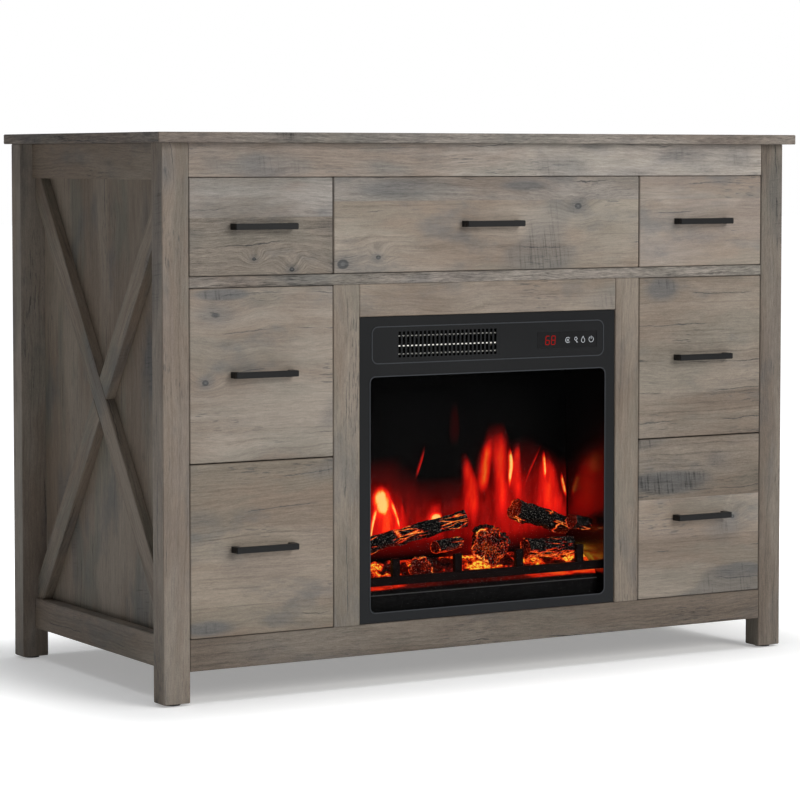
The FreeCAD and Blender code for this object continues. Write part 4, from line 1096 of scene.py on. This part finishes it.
def end_face(part, corners, shares, turns, sense, heat):
    """One face of a log's cut end, with its corners' shares of the radius and steps round the rim."""
    if sense > 0:
        corners, shares, turns = corners[::-1], shares[::-1], turns[::-1]
    layer = part.loops.layers.float_vector["timber"]
    for loop, share, turn in zip(part.faces.new(corners).loops, shares, turns):
        loop[layer] = Vector((share, turn * 2.0 * math.pi / LOG_SIDES, heat))


def rough_log(start, end, radius, seed):
    """A gnarled log with furrowed bark and cracked, slightly domed cut ends, inside the given radius."""
    start, end = Vector(start) * MM, Vector(end) * MM
    radius = radius * MM
    axis = (end - start).normalized()
    side = axis.cross(Z).normalized()
    up = side.cross(axis)
    length = (end - start).length
    rows = max(12, int(length / LOG_ROW))
    part = bmesh.new()
    layer = part.loops.layers.float_vector.new("timber")
    rings = []
    for row in range(rows + 1):
        share = row / rows
        ring = []
        for step in range(LOG_SIDES):
            angle = 2.0 * math.pi * step / LOG_SIDES
            out = side * math.cos(angle) + up * math.sin(angle)
            reach = radius * bark_reach(share, share * length, angle, seed)
            ring.append(part.verts.new(start + axis * (share * length) + out * reach))
        rings.append(ring)
    for face, places in quads_between(part, [ring + ring[:1] for ring in rings]):
        for loop, (step, row) in zip(face.loops, places):
            arc_length = 2.0 * math.pi * radius * step / LOG_SIDES
            loop[layer] = Vector((row / rows * length + seed, arc_length, 0.0))
    heat = min(1.0, radius / HOT_END_RADIUS)
    for ring, centre, sense in ((rings[0], start, 1), (rings[-1], end, -1)):
        inner = ring
        outer_share = 1.0
        for share in END_RINGS:
            circle = []
            for vert in ring:
                flat = centre + (vert.co - centre) * share
                dent = noise.noise(Vector((flat.x * 180.0, flat.y * 180.0, flat.z * 180.0 + seed))) * 1.8 * MM
                circle.append(part.verts.new(flat + axis * sense * (0.5 * MM + abs(dent))))
            for step in range(LOG_SIDES):
                after = (step + 1) % LOG_SIDES
                corners = (inner[step], inner[after], circle[after], circle[step])
                shares = (outer_share, outer_share, share, share)
                end_face(part, corners, shares, (step, step + 1, step + 1, step), sense, heat)
            inner = circle
            outer_share = share
        heart = part.verts.new(centre + axis * sense * 0.8 * MM)
        for step in range(LOG_SIDES):
            corners = (inner[step], inner[(step + 1) % LOG_SIDES], heart)
            shares = (outer_share, outer_share, 0.0)
            end_face(part, corners, shares, (step, step + 1, step + 0.5), sense, heat)
    bmesh.ops.recalc_face_normals(part, faces=part.faces)
    return part


# (start, end, radius) in millimetres, y measured back from the front plane
FRONT_PLANE = -256.0
LOG_PLACES = (
    ((-205, 50, 200), (-8, 62, 233), 16.0),
    ((17, 30, 194), (33, 58, 195.5), 36.0),
    ((84, 62, 242), (190, 80, 208), 20.0),
    ((90, 42, 182), (174, 44, 182), 20.0),
    ((172, 38, 221), (208, 45, 214), 15.0),
    ((-100, 36, 163), (-88, 58, 164), 24.0),
    ((-72, 43, 194), (-20, 54, 199), 13.0),
)
log_resin = charred_log_material()
logs = []
for number, (start, end, radius) in enumerate(LOG_PLACES):
    places = [(x, FRONT_PLANE + y, z) for x, y, z in (start, end)]
    logs.append(rough_log(*places, radius, 3.1 * number + 1.0))
show("burning_logs", logs, log_resin, "log_set", 0.9)
ember_resin = ember_material()
grate_black = coated_metal("grate_black", (0.0065, 0.0016, 0.0014), 0.5, 0.10, 0.2)
metalwork("log_grate", grate_black, 0.0006)


def profile(y, points):
    """Height at depth y on a line through (y, z) points."""
    for (y0, z0), (y1, z1) in zip(points, points[1:]):
        if y <= y1:
            return z0 + (z1 - z0) * max(0.0, (y - y0) / (y1 - y0))
    return points[-1][1]


EMBER_FRONT = -236.0
EMBER_REAR = -141.0
EMBER_HALF_WIDTH = 209.0
EMBER_PROFILE = ((EMBER_FRONT, 132.0), (-224.0, 146.0), (EMBER_REAR, 168.0))
EMBER_FOOT = 95.2
EMBER_STEP = 2.2


def ember_heap():
    """The moulded bed: a skirt down to the floor and a top of separate glowing coals."""
    part = bmesh.new()
    columns = int(2 * EMBER_HALF_WIDTH / EMBER_STEP)
    rows = int((EMBER_REAR - EMBER_FRONT) / EMBER_STEP)
    grid = []
    for row in range(rows + 1):
        y = EMBER_FRONT + (EMBER_REAR - EMBER_FRONT) * row / rows
        line = []
        for column in range(columns + 1):
            x = -EMBER_HALF_WIDTH + 2 * EMBER_HALF_WIDTH * column / columns
            coal = noise.cell_vector(Vector((x / 17.0, y / 15.0, 3.0)))
            lump = noise.noise(Vector((x * 0.075, y * 0.085, 5.0)))
            lump += 0.5 * noise.noise(Vector((x * 0.2, y * 0.2, 9.0)))
            ease = min(1.0, row / 6.0, (rows - row) / 3.0)
            end_rise = max(0.0, (abs(x) - 168.0) / 41.0)
            z = profile(y, EMBER_PROFILE) + ease * (7.0 * lump + 2.0 * (coal.x - 0.5) + 9.0 * end_rise)
            line.append(part.verts.new(Vector((x, y, z)) * MM))
        grid.append(line)
    quads_between(part, grid)
    right, left = [line[-1] for line in grid[1:]], [line[0] for line in grid[-2:0:-1]]
    rim = grid[0] + right + grid[-1][-2::-1] + left
    foot = [part.verts.new((vert.co.x, vert.co.y, EMBER_FOOT * MM)) for vert in rim]
    for step, vert in enumerate(rim):
        after = (step + 1) % len(rim)
        part.faces.new((foot[step], foot[after], rim[after], vert))
    part.faces.new(foot[::-1])
    bmesh.ops.recalc_face_normals(part, faces=part.faces)
    show("glowing_bed", [part], ember_resin, "ember_bed", 1.2)


ember_heap()


# ---------------------------------------------------------------- flames
def flame_material():
    """Light thrown on the screen: each tongue is hot along its middle and fades at its edge."""
    g = Graph("flame_light")
    across, along, heat = g.split(g.attribute("tongue")["Vector"])
    drift = g.noise(g.stretched((34.0, 10.0, 13.0)), 1.0, 2.0)
    lick = g.noise(g.stretched((85.0, 10.0, 20.0)), 1.0, 2.0)
    grain = g.noise(g.object_place(), 900.0, 2.0)
    bent = g.swing(drift, 0.8, across)
    core = g.remap(g.away(bent), 1.0, 0.0)
    ragged = g.times(g.math("POWER", core, 0.7), g.remap(lick, 0.30, 0.60, 0.78, 1.0))
    rise = g.times(g.remap(along, 0.0, 0.30), g.remap(along, 1.0, 0.66))
    sides = g.remap(g.away(across), 1.0, 0.66)
    mask = g.times(g.times(ragged, rise), sides)
    mask = g.times(mask, g.remap(grain, 0.2, 0.7, 0.80, 1.08))
    warmth = g.times(mask, heat)
    colour = g.ramp(warmth, FLAME_GLOW)
    clear = g.node("ShaderNodeBsdfTransparent")
    summed = g.node("ShaderNodeAddShader", {0: clear.outputs[0], 1: g.emission(colour, 1.05)})
    return g.finish(summed.outputs[0])


def smooth_path(points, steps):
    """Points along a Catmull-Rom curve through the given ones."""
    rows = [points[0]] + list(points) + [points[-1]]
    made = []
    spans = len(points) - 1
    for step in range(steps + 1):
        place = step / steps * spans
        span = min(int(place), spans - 1)
        t = place - span
        p0, p1, p2, p3 = (Vector(row) for row in rows[span:span + 4])
        square, cube = 2 * p0 - 5 * p1 + 4 * p2 - p3, 3 * p1 - p0 - 3 * p2 + p3
        made.append(0.5 * (2.0 * p1 + (p2 - p0) * t + square * t * t + cube * t ** 3))
    return made


def tongue(points, heat, y):
    """A curved flame sheet; points are (x, z, half width) in millimetres from foot to tip.

    A sheet wider than the fire chamber is cut off at its side walls.
    """
    across_steps = 14
    along_steps = 36
    bulge_depth = 5.0
    narrowest = 0.4
    part = bmesh.new()
    layer = part.loops.layers.float_vector.new("tongue")
    path = smooth_path(points, along_steps)
    grid = []
    for row, (x, z, half) in enumerate(path):
        ahead = path[min(row + 1, along_steps)] - path[max(row - 1, 0)]
        run = Vector((ahead.x, ahead.y, 0.0)).normalized()
        side = Vector((run.y, -run.x, 0.0))
        line = []
        for column in range(across_steps + 1):
            share = 2.0 * column / across_steps - 1.0
            bulge = bulge_depth * (1.0 - share * share) * (0.4 + 0.6 * row / along_steps)
            reach = max(half, narrowest) * share
            line.append(part.verts.new(Vector((x + side.x * reach, y - bulge, z + side.y * reach)) * MM))
        grid.append(line)
    for face, places in quads_between(part, grid):
        for loop, (over, level) in zip(face.loops, places):
            loop[layer] = Vector((2.0 * over / across_steps - 1.0, level / along_steps, heat))
    for sense in (-1.0, 1.0):
        cut(part, (sense * SIDE_WALL, 0.0, 0.0), (sense, 0.0, 0.0), clear_outer=True)
    return part


# heat, distance in front of the screen, then (x, z, half width) from foot to tip
FLAMES = (
    (0.36, 1.5, ((-120, 170, 170), (-120, 216, 150), (-122, 262, 100), (-126, 330, 40))),
    (0.40, 2.5, ((150, 180, 260), (140, 218, 220), (120, 268, 130), (100, 344, 46))),
    (0.33, 3.5, ((10, 172, 330), (10, 208, 320), (10, 242, 300), (10, 294, 230))),
    (0.72, 5.0, ((-116, 184, 48), (-118, 222, 40), (-122, 254, 28), (-128, 286, 13))),
    (1.25, 8.0, ((-122, 228, 6), (-124, 246, 15), (-127, 262, 22), (-130, 276, 18), (-135, 292, 6))),
    (1.10, 9.0, ((-95, 210, 3.0), (-101, 232, 4.6), (-109, 252, 6.0), (-118, 270, 5.0))),
    (1.10, 9.0, ((-148, 196, 2.4), (-146, 218, 4.0), (-141, 240, 5.4), (-134, 262, 6.0))),
    (0.50, 5.0, ((-88, 196, 14), (-87, 222, 12), (-90, 246, 7), (-93, 262, 2))),
    (0.60, 5.0, ((-44, 192, 40), (-38, 218, 32), (-30, 242, 17), (-22, 262, 6))),
    (1.60, 9.0, ((-33, 208, 12), (-32, 220, 14), (-31, 232, 14), (-30, 242, 11))),
    (0.68, 5.0, ((38, 196, 20), (36, 240, 21), (33, 276, 20), (27, 308, 12), (20, 330, 4))),
    (0.78, 6.0, ((58, 252, 12), (55, 280, 17), (58, 308, 18), (64, 334, 13), (70, 358, 5))),
    (0.66, 5.5, ((92, 196, 16), (91, 250, 19), (88, 304, 26), (82, 344, 27), (82, 374, 15))),
    (0.70, 7.0, ((120, 224, 13), (117, 268, 15), (115, 302, 14), (117, 326, 10), (119, 342, 6))),
    (1.15, 9.0, ((103, 262, 2.0), (104, 284, 4.4), (106, 304, 6.6), (104, 322, 5.0), (102, 336, 2.0))),
    (0.68, 5.5, ((186, 190, 58), (183, 236, 41), (178, 276, 27), (172, 304, 19), (169, 326, 10))),
    (1.10, 9.0, ((169, 278, 2.0), (169, 294, 4.6), (167, 312, 4.4), (165, 328, 1.6))),
    (1.10, 9.0, ((210, 246, 1.8), (206, 262, 4.2), (202, 276, 4.0), (198, 292, 1.4))),
    (0.50, 8.0, ((128, 264, 1.4), (139, 290, 2.4), (150, 312, 2.4), (162, 336, 1.2))),
    (0.52, 8.0, ((-68, 290, 1.8), (-62, 308, 3.8), (-56, 326, 3.4), (-52, 344, 1.2))),
    (0.06, 8.0, ((3, 340, 7.0), (3, 362, 12.0), (3, 384, 10.0), (3, 408, 5.0))),
)
SCREEN_FACE = -138.0
tongues = [tongue(points, heat, SCREEN_FACE - gap) for heat, gap, points in FLAMES]
show_extra("flames", tongues, flame_material(), 0.0)
